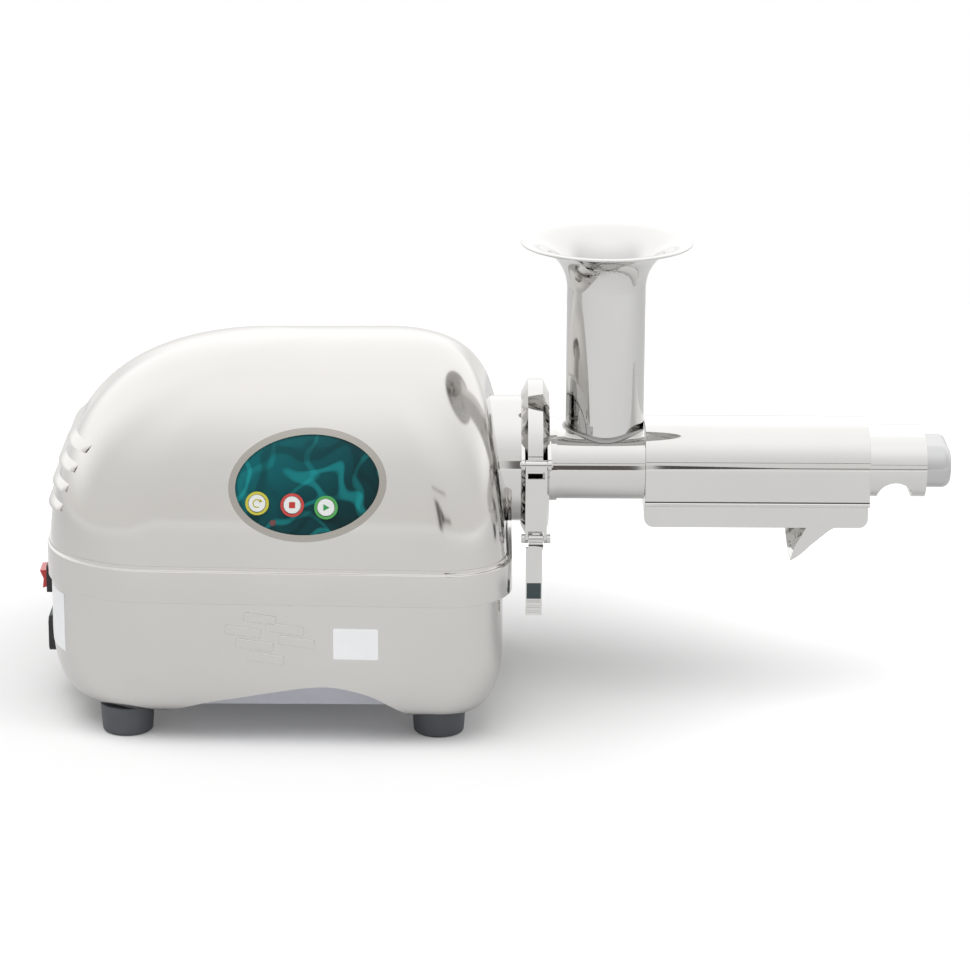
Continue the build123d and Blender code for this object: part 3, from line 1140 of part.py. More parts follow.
def juice_cover():
    """Sliding hood and the tray below it, which drains into the spout."""
    x0, x1 = BARREL_END_X + MOVE_GAP, SCREEN_END_X
    in0, in1 = x0 + COVER_SHEET, x1 - COVER_SHEET
    step_z = AXIS_Z - COVER_STEP
    floor_z = AXIS_Z - COVER_FLOOR
    tray_half = COVER_HALF_WIDTH - COVER_STEP_IN
    inner = tray_half - COVER_SHEET
    reach = 2 * COVER_HALF_WIDTH
    hood = along_x(cover_outline(0), x0, x1)
    room = along_x(cover_outline(COVER_SHEET), in0, in1)
    hood -= room & brick(x0, x1, -reach, reach, step_z + COVER_SHEET, AXIS_Z + reach)
    hood &= brick(x0, x1, -reach, reach, step_z, AXIS_Z + reach)
    hood -= brick(in0, in1, -inner, inner, step_z - SPARE, AXIS_Z)
    keep("juice_cover", hood - along_x(oblong(SCREEN_RADIUS + MOVE_GAP), x0 - SPARE, x1 + SPARE))

    tray = brick(x0, x1, -tray_half, tray_half, floor_z, step_z)
    tray = fillet(tray.edges().group_by(Axis.Z)[0].filter_by(Axis.Y), TRAY_ROUND)
    room = brick(in0, in1, -inner, inner, floor_z + COVER_SHEET, step_z)
    room = fillet(room.edges().group_by(Axis.Z)[0].filter_by(Axis.Y), TRAY_ROUND - COVER_SHEET)
    drain_half = SPOUT_HALF_WIDTH - DRAIN_SIDE
    drain = brick(SPOUT_TIP_X + DRAIN_INSET, SPOUT_REAR_X - DRAIN_INSET, -drain_half, drain_half,
                  floor_z - SPARE, step_z)
    keep("juice_tray", tray - room - drain)


def spout():
    """Trough below the tray: an S-curved floor between two cheeks, open towards the machine."""
    top = AXIS_Z - COVER_FLOOR
    tip_z = AXIS_Z - SPOUT_TIP_DROP
    drop = top - tip_z
    path = [(SPOUT_REAR_X, top), (SPOUT_REAR_X - 9, top - 0.1 * drop), (SPOUT_REAR_X - 17, top - 0.3 * drop),
            (SPOUT_TIP_X + 6, tip_z + 0.19 * drop), (SPOUT_TIP_X, tip_z)]
    upper = [(x, z + SPOUT_SHEET) for x, z in path]
    edge = [Spline(*path), Line(path[-1], upper[-1]), Spline(*reversed(upper)), Line(upper[0], path[0])]
    body = extrude(Plane.XZ * make_face(edge), SPOUT_HALF_WIDTH, both=True)
    back = SPOUT_REAR_X - 13.5
    seat = [(back, top), (back, top - 0.18 * drop), (SPOUT_TIP_X + 6, tip_z + 0.21 * drop)]
    tip = (SPOUT_TIP_X, tip_z + 0.6)
    near = [tip, (SPOUT_TIP_X + 2, tip_z + 0.32 * drop), (SPOUT_TIP_X + 10, top), *seat]
    far = [tip, (SPOUT_TIP_X - 2, tip_z + 0.64 * drop), (SPOUT_TIP_X - 1.5, top), *seat]
    for outline, side in ((near, -1), (far, 1)):
        plane = Plane(origin=(0, side * SPOUT_HALF_WIDTH, 0), x_dir=(1, 0, 0), z_dir=(0, -1, 0))
        body += extrude(plane * make_face(Polyline(*outline, close=True)), side * SPOUT_SHEET)
    reach = 2 * SPOUT_HALF_WIDTH
    keep("spout", body & brick(SPOUT_TIP_X - SPARE, SPOUT_REAR_X + SPARE, -reach, reach, tip_z - SPARE, top))


# ------------------------------------------------------------------------------------ clamp
def ring_inside():
    """Room inside the clamp ring: a V-groove round the two flanges, open at both ends."""
    mid, edge = RING_MID_X, RING_WIDTH / 2
    bevel = edge - RING_FLAT / 2
    rise = RING_RADIUS - RING_EDGE_RADIUS
    slant = hypot(bevel, rise)
    top = RING_RADIUS - RING_WALL

    def groove(radius):
        return edge - RING_WALL * slant / rise - (radius - RING_EDGE_RADIUS) * bevel / rise

    foot, crest = groove(RING_BORE), groove(top)
    return turned([(0, 0), (0, RING_BORE), (mid - foot, RING_BORE), (mid - crest, top), (mid + crest, top),
                   (mid + foot, RING_BORE), (2 * mid, RING_BORE), (2 * mid, 0)])


def ring_half(upper):
    """Half of the V-section clamp ring, split level with the head axis."""
    mid, edge = RING_MID_X, RING_WIDTH / 2
    ring = turned([(mid - edge, 0), (mid - edge, RING_EDGE_RADIUS), (mid - RING_FLAT / 2, RING_RADIUS),
                   (mid + RING_FLAT / 2, RING_RADIUS), (mid + edge, RING_EDGE_RADIUS), (mid + edge, 0)])
    ring -= ring_inside()
    reach = RING_RADIUS + SPARE
    if upper:
        return ring & brick(0, 2 * mid, -reach, reach, AXIS_Z + MOVE_GAP / 2, AXIS_Z + reach)
    return ring & brick(0, 2 * mid, -reach, reach, AXIS_Z - reach, AXIS_Z - MOVE_GAP / 2)


def clamp_rod(radius, x0, x1, u, v):
    """Pin or knuckle of the clamp at latch coordinates u (towards the panel side) and v (up)."""
    return rod(radius, x0, x1, -u, AXIS_Z + v)


def clamp_plate(points, x0, x1):
    """Plate of the clamp with an outline in latch coordinates."""
    outline = [(-u, v) for u, v in points]
    return along_x(make_face(Polyline(*outline, close=True)), x0, x1)


def span(near, far):
    """Two stations in rising order."""
    return min(near, far), max(near, far)


def clamp_hinge(lower, upper):
    """Add the hinge knuckles at the back of the ring halves; returns both halves and the pin."""
    mid, root = RING_MID_X, HINGE_ROOT - RING_RADIUS
    half = KNUCKLE_WIDTH / 2
    pin_room = clamp_rod(HINGE_PIN + RUN_CLEARANCE, 0, 2 * mid, HINGE_U, 0)
    tab = [(HINGE_U, HINGE_KNUCKLE), (HINGE_U, 0), (root, MOVE_GAP), (root, HINGE_TAB)]
    upper += clamp_plate(tab, mid - half, mid + half)
    upper += clamp_rod(HINGE_KNUCKLE, mid - half, mid + half, HINGE_U, 0)
    ear = [(u, -v) for u, v in tab]
    for side in (-1, 1):
        x0, x1 = span(mid + side * (half + MOVE_GAP), mid + side * 3 * half)
        lower += clamp_plate(ear, x0, x1) + clamp_rod(HINGE_KNUCKLE, x0, x1, HINGE_U, 0)
    pin = clamp_rod(HINGE_PIN, mid - 3 * half, mid + 3 * half, HINGE_U, 0)
    return lower - pin_room, upper - pin_room, pin


def clamp_ring():
    """Clamp ring halves with the keeper's and the catch's ears, and their pins."""
    lower, upper, hinge_pin = clamp_hinge(ring_half(False), ring_half(True))
    half = LINK_WIDTH / 2
    catch_inner = HOOK_WIDTH / 2 + HOOK_SIDE_GAP
    catch_outer = half - LINK_SHEET - MOVE_GAP
    keeper_inner = half + MOVE_GAP
    keeper_outer = keeper_inner + EAR_THICKNESS
    keeper_ear = [(RING_BORE - 6, KEEPER_V + 8), (KEEPER_U, KEEPER_V + EAR_RADIUS),
                  (KEEPER_U, KEEPER_V - EAR_RADIUS), (RING_BORE - 4, KEEPER_V - 8)]
    catch_ear = [(RING_RADIUS - 10, CATCH_V + 10), (CATCH_U, CATCH_V + CATCH_EAR),
                 (CATCH_U, CATCH_V - CATCH_EAR), (RING_RADIUS - 14, CATCH_V - 8)]
    for side in (-1, 1):
        x0, x1 = span(LATCH_X + side * keeper_inner, LATCH_X + side * keeper_outer)
        upper += clamp_plate(keeper_ear, x0, x1) + clamp_rod(EAR_RADIUS, x0, x1, KEEPER_U, KEEPER_V)
        x0, x1 = span(LATCH_X + side * catch_inner, LATCH_X + side * catch_outer)
        lower += clamp_plate(catch_ear, x0, x1) + clamp_rod(CATCH_EAR, x0, x1, CATCH_U, CATCH_V)
    upper -= ring_inside() + clamp_rod(LATCH_PIN, 0, 2 * RING_MID_X, KEEPER_U, KEEPER_V)
    lower -= ring_inside() + clamp_rod(LATCH_PIN, 0, 2 * RING_MID_X, CATCH_U, CATCH_V)
    keep("clamp_lower", lower)
    keep("clamp_upper", upper)
    keep("clamp_pins", hinge_pin,
         clamp_rod(LATCH_PIN, LATCH_X - catch_outer, LATCH_X + catch_outer, CATCH_U, CATCH_V))
    reach = keeper_outer + KEEPER_HEAD
    keep("keeper_pin", clamp_rod(LATCH_PIN, LATCH_X - reach, LATCH_X + reach, KEEPER_U, KEEPER_V))


def clamp_latch():
    """Link, link pin and handle."""
    half = LINK_WIDTH / 2
    pin = clamp_rod(LATCH_PIN, LATCH_X - half, LATCH_X + half, KEEPER_U, PIVOT_V)
    for side in (-1, 1):
        x0, x1 = span(LATCH_X + side * half, LATCH_X + side * (half + PIN_HEAD))
        pin += clamp_rod(PIN_HEAD_RADIUS, x0, x1, KEEPER_U, PIVOT_V)
    keep("link_pin", pin)
    keep("clamp_link", clamp_link())
    keep("clamp_handle", clamp_handle())


def clamp_link():
    """Link plate that hangs from the keeper pin and carries the handle's pivot between two cheeks."""
    half = LINK_WIDTH / 2
    face, back = KEEPER_U + LINK_CURL, KEEPER_U - LINK_CURL
    inside = face - LINK_SHEET
    x0, x1 = LATCH_X - half, LATCH_X + half
    plate_end = PIVOT_V + LINK_PLATE_END
    link = clamp_rod(LINK_CURL, x0, x1, KEEPER_U, KEEPER_V)
    plate = [(inside, KEEPER_V), (face, KEEPER_V), (face, plate_end), (inside, plate_end)]
    link += clamp_plate(plate, x0, x1)
    upper, lower = KEEPER_V - LINK_WINDOW[0], KEEPER_V - LINK_WINDOW[1]
    window = [(KEEPER_U, upper), (face + LINK_SHEET, upper), (face + LINK_SHEET, lower), (KEEPER_U, lower)]
    link -= clamp_plate(window, x0 + LINK_WINDOW_SIDE, x1 - LINK_WINDOW_SIDE)
    cheek = [(face, PIVOT_V + LINK_CHEEK), (face, PIVOT_V), (KEEPER_U, PIVOT_V - LINK_CURL), (back, PIVOT_V),
             (back, PIVOT_V + LINK_CHEEK)]
    for x in (x0, x1 - LINK_SHEET):
        link += clamp_plate(cheek, x, x + LINK_SHEET)
    link -= clamp_rod(LATCH_PIN + RUN_CLEARANCE, 0, 2 * RING_MID_X, KEEPER_U, KEEPER_V)
    return link - clamp_rod(LATCH_PIN, 0, 2 * RING_MID_X, KEEPER_U, PIVOT_V)


def clamp_handle():
    """Handle: a knuckle on the link pin, a hook up behind the link and a strip with a hemmed end."""
    strip_x = LATCH_X + HANDLE_OFFSET_X
    half = HANDLE_WIDTH / 2
    knuckle_half = LINK_WIDTH / 2 - LINK_SHEET - MOVE_GAP
    inner = KEEPER_U + HANDLE_FACE
    outer = inner + HANDLE_SHEET
    shoulder, bend, tip = PIVOT_V - HANDLE_SHOULDER, PIVOT_V - HANDLE_BEND, PIVOT_V - HANDLE_LENGTH
    handle = clamp_rod(HANDLE_KNUCKLE, LATCH_X - knuckle_half, LATCH_X + knuckle_half, KEEPER_U, PIVOT_V)
    root = [(inner, PIVOT_V), (outer, PIVOT_V - HANDLE_KNUCKLE), (outer, shoulder - 1), (inner, shoulder - 1)]
    handle += clamp_plate(root, LATCH_X - knuckle_half, LATCH_X + knuckle_half)
    strip = [(inner, shoulder), (outer, shoulder), (outer, bend), (outer + HANDLE_SWEEP, tip),
             (inner + HANDLE_SWEEP, tip), (inner, bend)]
    handle += clamp_plate(strip, strip_x - half, strip_x + half)
    hem = [(inner, tip), (outer, tip), (outer - HANDLE_SHEET / 2, tip + HANDLE_HEM),
           (inner - HANDLE_SHEET / 2, tip + HANDLE_HEM)]
    handle += clamp_plate(hem, strip_x - half, strip_x + half)
    shelf_v = CATCH_V - LATCH_PIN - CATCH_GAP
    hook = [(KEEPER_U + LATCH_PIN, PIVOT_V), (KEEPER_U - LATCH_PIN, PIVOT_V - 2),
            (CATCH_U - 0.5, shelf_v - 2.5), (CATCH_U - 0.5, shelf_v), (CATCH_U + LINK_CURL, shelf_v),
            (KEEPER_U + 1, PIVOT_V + 2.3)]
    handle += clamp_plate(hook, LATCH_X - HOOK_WIDTH / 2, LATCH_X + HOOK_WIDTH / 2)
    return handle - clamp_rod(LATCH_PIN + RUN_CLEARANCE, 0, 2 * RING_MID_X, KEEPER_U, PIVOT_V)


def main():
    """Build every sub-assembly and write one STEP file for each node."""
    os.makedirs("parts", exist_ok=True)
    for build in (housing, tray_and_feet, panel, controls, rear_panel, motor, motor_supports, gear_case,
                  gear_train, neck, barrel, hopper, screen, end_pieces, augers, juice_cover, spout,
                  clamp_ring, clamp_latch):
        build()
    for name, shapes in NODES.items():
        solids = [solid for shape in shapes for solid in shape.solids()]
        export_step(Compound(children=solids), f"parts/{name}.step")


if __name__ == "__main__":
    main()
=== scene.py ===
"""Looks of a twin-gear cold press juicer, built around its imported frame.

Every length below is in millimetres until MM turns it into metres. +X runs from the power inlet to
the pulp end, +Z is up, and the control panel faces -Y.
"""

import json
import logging
from dataclasses import dataclass
from enum import Enum
from math import cos, pi, radians, sin
from typing import Callable, Optional, Sequence, Union

import bmesh
import bpy
import numpy as np
from mathutils import Matrix, Vector


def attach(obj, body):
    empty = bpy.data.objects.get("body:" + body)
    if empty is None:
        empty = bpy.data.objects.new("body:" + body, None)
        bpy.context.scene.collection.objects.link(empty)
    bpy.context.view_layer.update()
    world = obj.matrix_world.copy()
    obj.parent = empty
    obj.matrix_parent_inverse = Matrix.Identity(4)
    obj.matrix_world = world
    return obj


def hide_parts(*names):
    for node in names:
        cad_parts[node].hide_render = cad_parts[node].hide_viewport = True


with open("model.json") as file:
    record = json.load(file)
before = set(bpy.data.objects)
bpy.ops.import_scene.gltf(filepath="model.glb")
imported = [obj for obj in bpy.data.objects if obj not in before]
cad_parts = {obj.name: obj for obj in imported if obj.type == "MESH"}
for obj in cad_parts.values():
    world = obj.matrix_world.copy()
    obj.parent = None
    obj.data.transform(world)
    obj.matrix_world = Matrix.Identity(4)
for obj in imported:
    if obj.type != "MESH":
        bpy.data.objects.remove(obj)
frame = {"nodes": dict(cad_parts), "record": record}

MM = 0.001
LOG = logging.getLogger("juicer")
Number = Union[float, "Value"]
Floats = Sequence[float]
Piece = bpy.types.Object
Material = bpy.types.Material


# ---------------- shader maths
def operator(kind: str, swapped: bool = False) -> Callable[["Value", Number], "Value"]:
    """Make an operator that adds one Math node.

    Args:
        kind: the node's operation.
        swapped: whether the other number comes first.

    Returns:
        The method for the Value class.
    """
    def method(self: "Value", other: Number) -> "Value":
        """Result of the Math node."""
        first, second = (other, self) if swapped else (self, other)
        return self.tree.add("ShaderNodeMath", {"operation": kind}, {0: first, 1: second})

    return method


class Value:
    """Number, vector or colour on its way through a node tree; operators on it add Math nodes."""

    __add__, __radd__ = operator("ADD"), operator("ADD", True)
    __sub__, __rsub__ = operator("SUBTRACT"), operator("SUBTRACT", True)
    __mul__, __rmul__ = operator("MULTIPLY"), operator("MULTIPLY", True)
    __pow__ = operator("POWER")

    def __init__(self, tree: "Tree", socket: bpy.types.NodeSocket) -> None:
        """Wrap one output socket of a tree."""
        self.tree = tree
        self.socket = socket

    def wave(self) -> "Value":
        """Sine of this value, in radians."""
        return self.tree.add("ShaderNodeMath", {"operation": "SINE"}, {0: self})

    def eased(self, low: float, high: float) -> "Value":
        """0 below low, 1 above high, and a smooth step between."""
        settings = {"interpolation_type": "SMOOTHSTEP"}
        return self.tree.add("ShaderNodeMapRange", settings, {0: self, 1: low, 2: high, 3: 0.0, 4: 1.0})


class Tree:
    """Node tree of a material or of the world."""

    def __init__(self, net: bpy.types.NodeTree) -> None:
        """Take a node tree and empty it."""
        self.net = net
        self.net.nodes.clear()

    def plug(self, socket: bpy.types.NodeSocket, value: object) -> None:
        """Link a Value to a socket, or write a plain number or colour on it."""
        if isinstance(value, Value):
            self.net.links.new(value.socket, socket)
        elif isinstance(value, (tuple, list)) and len(value) == 3 and len(socket.default_value) == 4:
            socket.default_value = (*value, 1.0)
        else:
            socket.default_value = value

    def add(self, kind: str, settings: Optional[dict] = None, inputs: Optional[dict] = None,
            output: Union[int, str] = 0) -> Value:
        """Add any node.

        Args:
            kind: the node's type name.
            settings: attributes set before the sockets; "stops" fills a colour ramp.
            inputs: socket names or numbers with their values or links.
            output: the output socket to return.

        Returns:
            The chosen output as a Value.
        """
        node = self.net.nodes.new(kind)
        for key, value in (settings or {}).items():
            if key == "stops":
                ramp = node.color_ramp
                while len(ramp.elements) < len(value):
                    ramp.elements.new(0.5)
                for element, (place, colour) in zip(ramp.elements, value):
                    element.position = place
                    element.color = (*colour, 1.0)
            else:
                setattr(node, key, value)
        for key, value in (inputs or {}).items():
            self.plug(node.inputs[key], value)
        return Value(self, node.outputs[output])

    def place(self, centre: Floats = (0, 0, 0), stretch: Floats = (1, 1, 1)) -> Value:
        """Object coordinates about a centre in metres, stretched along the axes."""
        spot = self.add("ShaderNodeTexCoord", output="Object")
        moved = self.add("ShaderNodeVectorMath", {"operation": "SUBTRACT"}, {0: spot, 1: tuple(centre)})
        return self.add("ShaderNodeMapping", None, {"Vector": moved, "Scale": tuple(stretch)})

    def part(self, vector: Value, axis: str) -> Value:
        """One of the X, Y and Z parts of a vector."""
        return self.add("ShaderNodeSeparateXYZ", None, {0: vector}, axis)

    def ray(self, kind: str) -> Value:
        """1 for rays of one kind, Camera, Glossy or Diffuse, and 0 for the others."""
        return self.add("ShaderNodeLightPath", output=f"Is {kind} Ray")

    def noise(self, vector: Value, scale: float, detail: float = 3.0) -> Value:
        """Noise between about 0 and 1."""
        inputs = {"Vector": vector, "Scale": scale, "Detail": detail}
        return self.add("ShaderNodeTexNoise", None, inputs, "Fac")

    def ramp(self, stops: Sequence[tuple], value: Value) -> Value:
        """Colour from a ramp of (place, colour) stops."""
        return self.add("ShaderNodeValToRGB", {"stops": stops}, {0: value})

    def blend(self, factor: Number, first: object, second: object) -> Value:
        """Colour that runs from the first to the second as the factor goes from 0 to 1."""
        return self.add("ShaderNodeMix", {"data_type": "RGBA"}, {0: factor, 6: first, 7: second}, 2)

    def mottled(self, cloud: Value, colour: Floats, share: float) -> Value:
        """Colour that darkens by a share where the cloud is low."""
        return self.blend(cloud, tuple((1 - share) * c for c in colour), colour)

    def bump(self, height: Value) -> Value:
        """Surface normal bent by a height in metres."""
        return self.add("ShaderNodeBump", None, {"Strength": 1.0, "Distance": 1.0, "Height": height})


class Graph(Tree):
    """Material under construction, with one Principled shader."""

    def __init__(self, name: str) -> None:
        """Start a material with its shader and output."""
        self.material = bpy.data.materials.new(name)
        self.material.use_nodes = True
        super().__init__(self.material.node_tree)
        self.shader = self.net.nodes.new("ShaderNodeBsdfPrincipled")
        out = self.net.nodes.new("ShaderNodeOutputMaterial")
        self.net.links.new(self.shader.outputs[0], out.inputs["Surface"])

    def set(self, **inputs: object) -> "Graph":
        """Set sockets of the Principled shader; an underscore stands for a space."""
        for key, value in inputs.items():
            self.plug(self.shader.inputs[key.replace("_", " ")], value)
        return self


# ---------------- finishes
class Grain(Enum):
    """Direction of the fine lines that polishing leaves."""

    NONE = (1.0, 1.0, 1.0)
    ALONG_X = (1.0, 40.0, 40.0)
    ROUND_Z = (30.0, 30.0, 1.0)


@dataclass(frozen=True)
class Steel:
    """Bare steel: brushed, satin or mirror polished."""

    name: str
    colour: tuple = (0.80, 0.79, 0.77)
    roughness: float = 0.2
    spread: float = 0.05
    grain: Grain = Grain.NONE
    grain_depth: float = 0.0
    wave_depth: float = 0.00006
    mottling: float = 0.07

    def material(self) -> Material:
        """Roughness drifts with soft noise, colour with a larger one, and the normal waves slightly."""
        graph = Graph(self.name)
        spot = graph.place()
        drift = graph.noise(spot, 18.0)
        smear = graph.noise(graph.place(stretch=self.grain.value), 90.0, 4.0)
        rough = self.roughness + self.spread * (drift - 0.5) + 0.6 * self.spread * (smear - 0.5)
        height = graph.noise(spot, 7.0, 1.0) * self.wave_depth + smear * self.grain_depth
        graph.set(Base_Color=graph.mottled(drift, self.colour, self.mottling), Metallic=1.0,
                  Roughness=rough, Normal=graph.bump(height))
        return graph.material


@dataclass(frozen=True)
class Moulded:
    """Moulded plastic or rubber with a fine texture."""

    name: str
    colour: tuple
    roughness: float = 0.4
    texture: float = 0.00001
    scale: float = 1500.0
    mottling: float = 0.12
    coat: float = 0.0

    def material(self) -> Material:
        """Fine speckle in the normal and soft mottling in colour and roughness."""
        graph = Graph(self.name)
        spot = graph.place()
        speckle = graph.noise(spot, self.scale, 2.0)
        cloud = graph.noise(spot, 30.0)
        rough = self.roughness + 0.1 * (cloud - 0.5)
        graph.set(Base_Color=graph.mottled(cloud, self.colour, self.mottling), Roughness=rough,
                  Coat_Weight=self.coat, Normal=graph.bump(speckle * self.texture))
        return graph.material


@dataclass(frozen=True)
class Printed:
    """Glossy printed film: teal bands that flow across an oval and darken to one side."""

    name: str
    centre: tuple
    half_length: float
    ground: tuple = ((0.0, (0.002, 0.100, 0.112)), (0.35, (0.002, 0.070, 0.080)),
                     (0.7, (0.001, 0.036, 0.042)), (1.0, (0.001, 0.020, 0.022)))
    bright_band: tuple = (0.01, 0.24, 0.25)
    dark_band: tuple = (0.001, 0.014, 0.016)

    def material(self) -> Material:
        """Bands are sines of a slanted coordinate bent by noise; the ground fades from teal to dark green."""
        graph = Graph(self.name)
        unit = 1.0 / self.half_length
        spot = graph.place(self.centre, (unit, unit, unit))
        across, up = graph.part(spot, "X"), graph.part(spot, "Z")
        bend = graph.noise(spot, 1.3, 1.0)
        ground = graph.ramp(self.ground, 0.5 + 0.40 * across - 0.35 * up + 0.5 * (bend - 0.5))
        flow = (7.0 * up + 5.0 * across * across - 2.5 * across + 16.0 * bend).wave()
        curl = (8.0 * across - 4.0 * up * up + 13.0 * bend + 1.7).wave()
        bright = flow.eased(0.80, 1.0) * 0.55 + curl.eased(0.88, 1.0) * 0.30
        dim = (0.0 - flow).eased(0.5, 1.0) * 0.45
        colour = graph.blend(dim, graph.blend(bright, ground, self.bright_band), self.dark_band)
        graph.set(Base_Color=colour, Roughness=0.30 + 0.05 * (bend - 0.5), Coat_Weight=0.06,
                  Coat_Roughness=0.1, Specular_IOR_Level=0.12)
        return graph.material


STEEL_SATIN = Steel("satin_steel", (0.61, 0.597, 0.577), 0.12, 0.03, Grain.NONE, 0.0, 0.00004)
STEEL_MIRROR = Steel("mirror_steel", (0.63, 0.625, 0.61), 0.045, 0.02, Grain.NONE, 0.0, 0.00002)
FINISHES = {
    "satin_steel": STEEL_SATIN,
    "polished_steel": STEEL_MIRROR,
    "cast_steel": Steel("blasted_steel", (0.50, 0.50, 0.505), 0.22, 0.06, Grain.ALONG_X, 0.000001),
    "dark_tray": Moulded("tray_paint", (0.62, 0.63, 0.69), 0.35),
    "foot_rubber": Moulded("foot_rubber", (0.080, 0.085, 0.095), 0.55, 0.00002, 900.0),
    "seal_rubber": Moulded("seal_rubber", (0.02, 0.02, 0.021), 0.6),
    "plain_steel": Steel("plated_steel", (0.62, 0.62, 0.62), 0.3, 0.08),
    "panel_silver": Steel("panel_edge", (0.40, 0.38, 0.35), 0.22, 0.05),
    "panel_teal": Moulded("panel_film", (0.01, 0.16, 0.18), 0.25),
    "ring_yellow": Moulded("ring_yellow", (0.52, 0.48, 0.035), 0.3, coat=0.3),
    "ring_red": Moulded("ring_red", (0.50, 0.035, 0.025), 0.3, coat=0.3),
    "ring_green": Moulded("ring_green", (0.05, 0.33, 0.06), 0.3, coat=0.3),
    "button_cap": Moulded("button_cap", (0.72, 0.74, 0.72), 0.35, coat=0.2),
    "clear_lens": Moulded("lamp_lens", (0.09, 0.008, 0.008), 0.12, 0.0, coat=0.8),
    "board_green": Moulded("board_laminate", (0.01, 0.10, 0.03), 0.35, coat=0.4),
    "black_plastic": Moulded("black_plastic", (0.012, 0.012, 0.014), 0.42),
    "white_nylon": Moulded("white_nylon", (0.72, 0.71, 0.66), 0.5),
    "rocker_red": Moulded("rocker_red", (0.55, 0.012, 0.010), 0.3, coat=0.4),
    "brass_contact": Steel("brass_contact", (0.78, 0.60, 0.28), 0.25),
    "lamination": Steel("laminated_steel", (0.36, 0.36, 0.38), 0.45, 0.1, Grain.ALONG_X, 0.000004),
    "copper": Moulded("copper_winding", (0.42, 0.14, 0.05), 0.35, 0.00003, 700.0, 0.3),
    "cast_aluminium": Steel("cast_aluminium", (0.60, 0.61, 0.62), 0.5, 0.12),
    "fan_plastic": Moulded("fan_plastic", (0.03, 0.03, 0.032), 0.45),
    "zinc_sheet": Steel("zinc_sheet", (0.60, 0.61, 0.63), 0.38, 0.1),
    "gear_steel": Steel("gear_steel", (0.48, 0.48, 0.49), 0.28, 0.08),
    "auger_steel": Steel("auger_steel", (0.74, 0.74, 0.74), 0.16, 0.06),
    "bush_bronze": Steel("bush_bronze", (0.55, 0.38, 0.18), 0.35, 0.08),
}


# ---------------- mesh tools
def make_object(name: str, mesh: bpy.types.Mesh) -> Piece:
    """Put a mesh into the scene as an object at the origin."""
    made = bpy.data.objects.new(name, mesh)
    bpy.context.scene.collection.objects.link(made)
    return made


def outward(mesh: bpy.types.Mesh, merge: float = 0.0) -> None:
    """Merge points closer than a distance in metres, then turn every face outwards."""
    shape = bmesh.new()
    shape.from_mesh(mesh)
    if merge > 0:
        bmesh.ops.remove_doubles(shape, verts=shape.verts, dist=merge)
    bmesh.ops.recalc_face_normals(shape, faces=shape.faces)
    shape.to_mesh(mesh)
    shape.free()


def ring_of_quads(rows: int, cols: int, closed_rows: bool, closed_cols: bool) -> np.ndarray:
    """Corner numbers of the faces of a grid that may close on itself either way."""
    last_row = rows if closed_rows else rows - 1
    last_col = cols if closed_cols else cols - 1
    r, c = np.meshgrid(np.arange(last_row), np.arange(last_col), indexing="ij")
    r2, c2 = (r + 1) % rows, (c + 1) % cols
    corners = [r * cols + c, r * cols + c2, r2 * cols + c2, r2 * cols + c]
    return np.stack(corners, axis=-1).reshape(-1, 4)


def surface(name: str, grid: np.ndarray, closed_rows: bool = False, closed_cols: bool = True,
            poles: Sequence[bool] = (False, False)) -> Piece:
    """Turn a grid of points into a mesh with outward faces and smooth shading.

    Args:
        name: name of the piece.
        grid: points in millimetres, rows by columns by three.
        closed_rows: the last row joins the first.
        closed_cols: the last column joins the first.
        poles: whether the first and the last row close to their middle point.

    Returns:
        The new object.
    """
    rows, cols, _ = grid.shape
    points = grid.reshape(-1, 3)
    faces = ring_of_quads(rows, cols, closed_rows, closed_cols).tolist()
    column = np.arange(cols)
    following = (column + 1) % cols
    for wanted, row in zip(poles, (0, rows - 1)):
        if wanted:
            points = np.vstack([points, grid[row].mean(axis=0)])
            tip = np.full(cols, len(points) - 1)
            faces += np.stack([row * cols + column, row * cols + following, tip], axis=-1).tolist()
    mesh = bpy.data.meshes.new(name)
    mesh.from_pydata((points * MM).tolist(), [], faces)
    outward(mesh, merge=1e-6)
    return smooth(make_object(name, mesh))


def smooth(piece: Piece, angle: float = 32.0) -> Piece:
    """Smooth shading with sharp edges kept above an angle in degrees."""
    piece.data.shade_smooth()
    piece.data.set_sharp_from_angle(angle=radians(angle))
    return piece


def arc(centre: Floats, radius: float, start: float, end: float, count: int) -> np.ndarray:
    """Points of an arc between two angles in degrees."""
    turn = np.radians(np.linspace(start, end, count))
    return np.stack([centre[0] + radius * np.cos(turn), centre[1] + radius * np.sin(turn)], axis=-1)


def cut(piece: Piece, cutters: Sequence[Piece]) -> Piece:
    """Take cutters away from a piece and delete them; the result is a plain mesh."""
    for cutter in cutters:
        modifier = piece.modifiers.new("cut", "BOOLEAN")
        modifier.object = cutter
        modifier.operation = "DIFFERENCE"
        modifier.solver = "EXACT"
    bpy.context.view_layer.update()
    evaluated = piece.evaluated_get(bpy.context.evaluated_depsgraph_get())
    mesh = bpy.data.meshes.new_from_object(evaluated)
    piece.modifiers.clear()
    piece.data = mesh
    for cutter in cutters:
        bpy.data.objects.remove(cutter)
    return smooth(piece)


def slab(name: str, layers: Sequence[np.ndarray]) -> Piece:
    """Closed solid between two matching rings of points in millimetres."""
    count = len(layers[0])
    order = np.arange(count)
    following = (order + 1) % count
    sides = np.stack([order, following, following + count, order + count], axis=-1)
    mesh = bpy.data.meshes.new(name)
    faces = [order[::-1].tolist(), (order + count).tolist(), *sides.tolist()]
    mesh.from_pydata((np.vstack(layers) * MM).tolist(), [], faces)
    outward(mesh)
    return make_object(name, mesh)


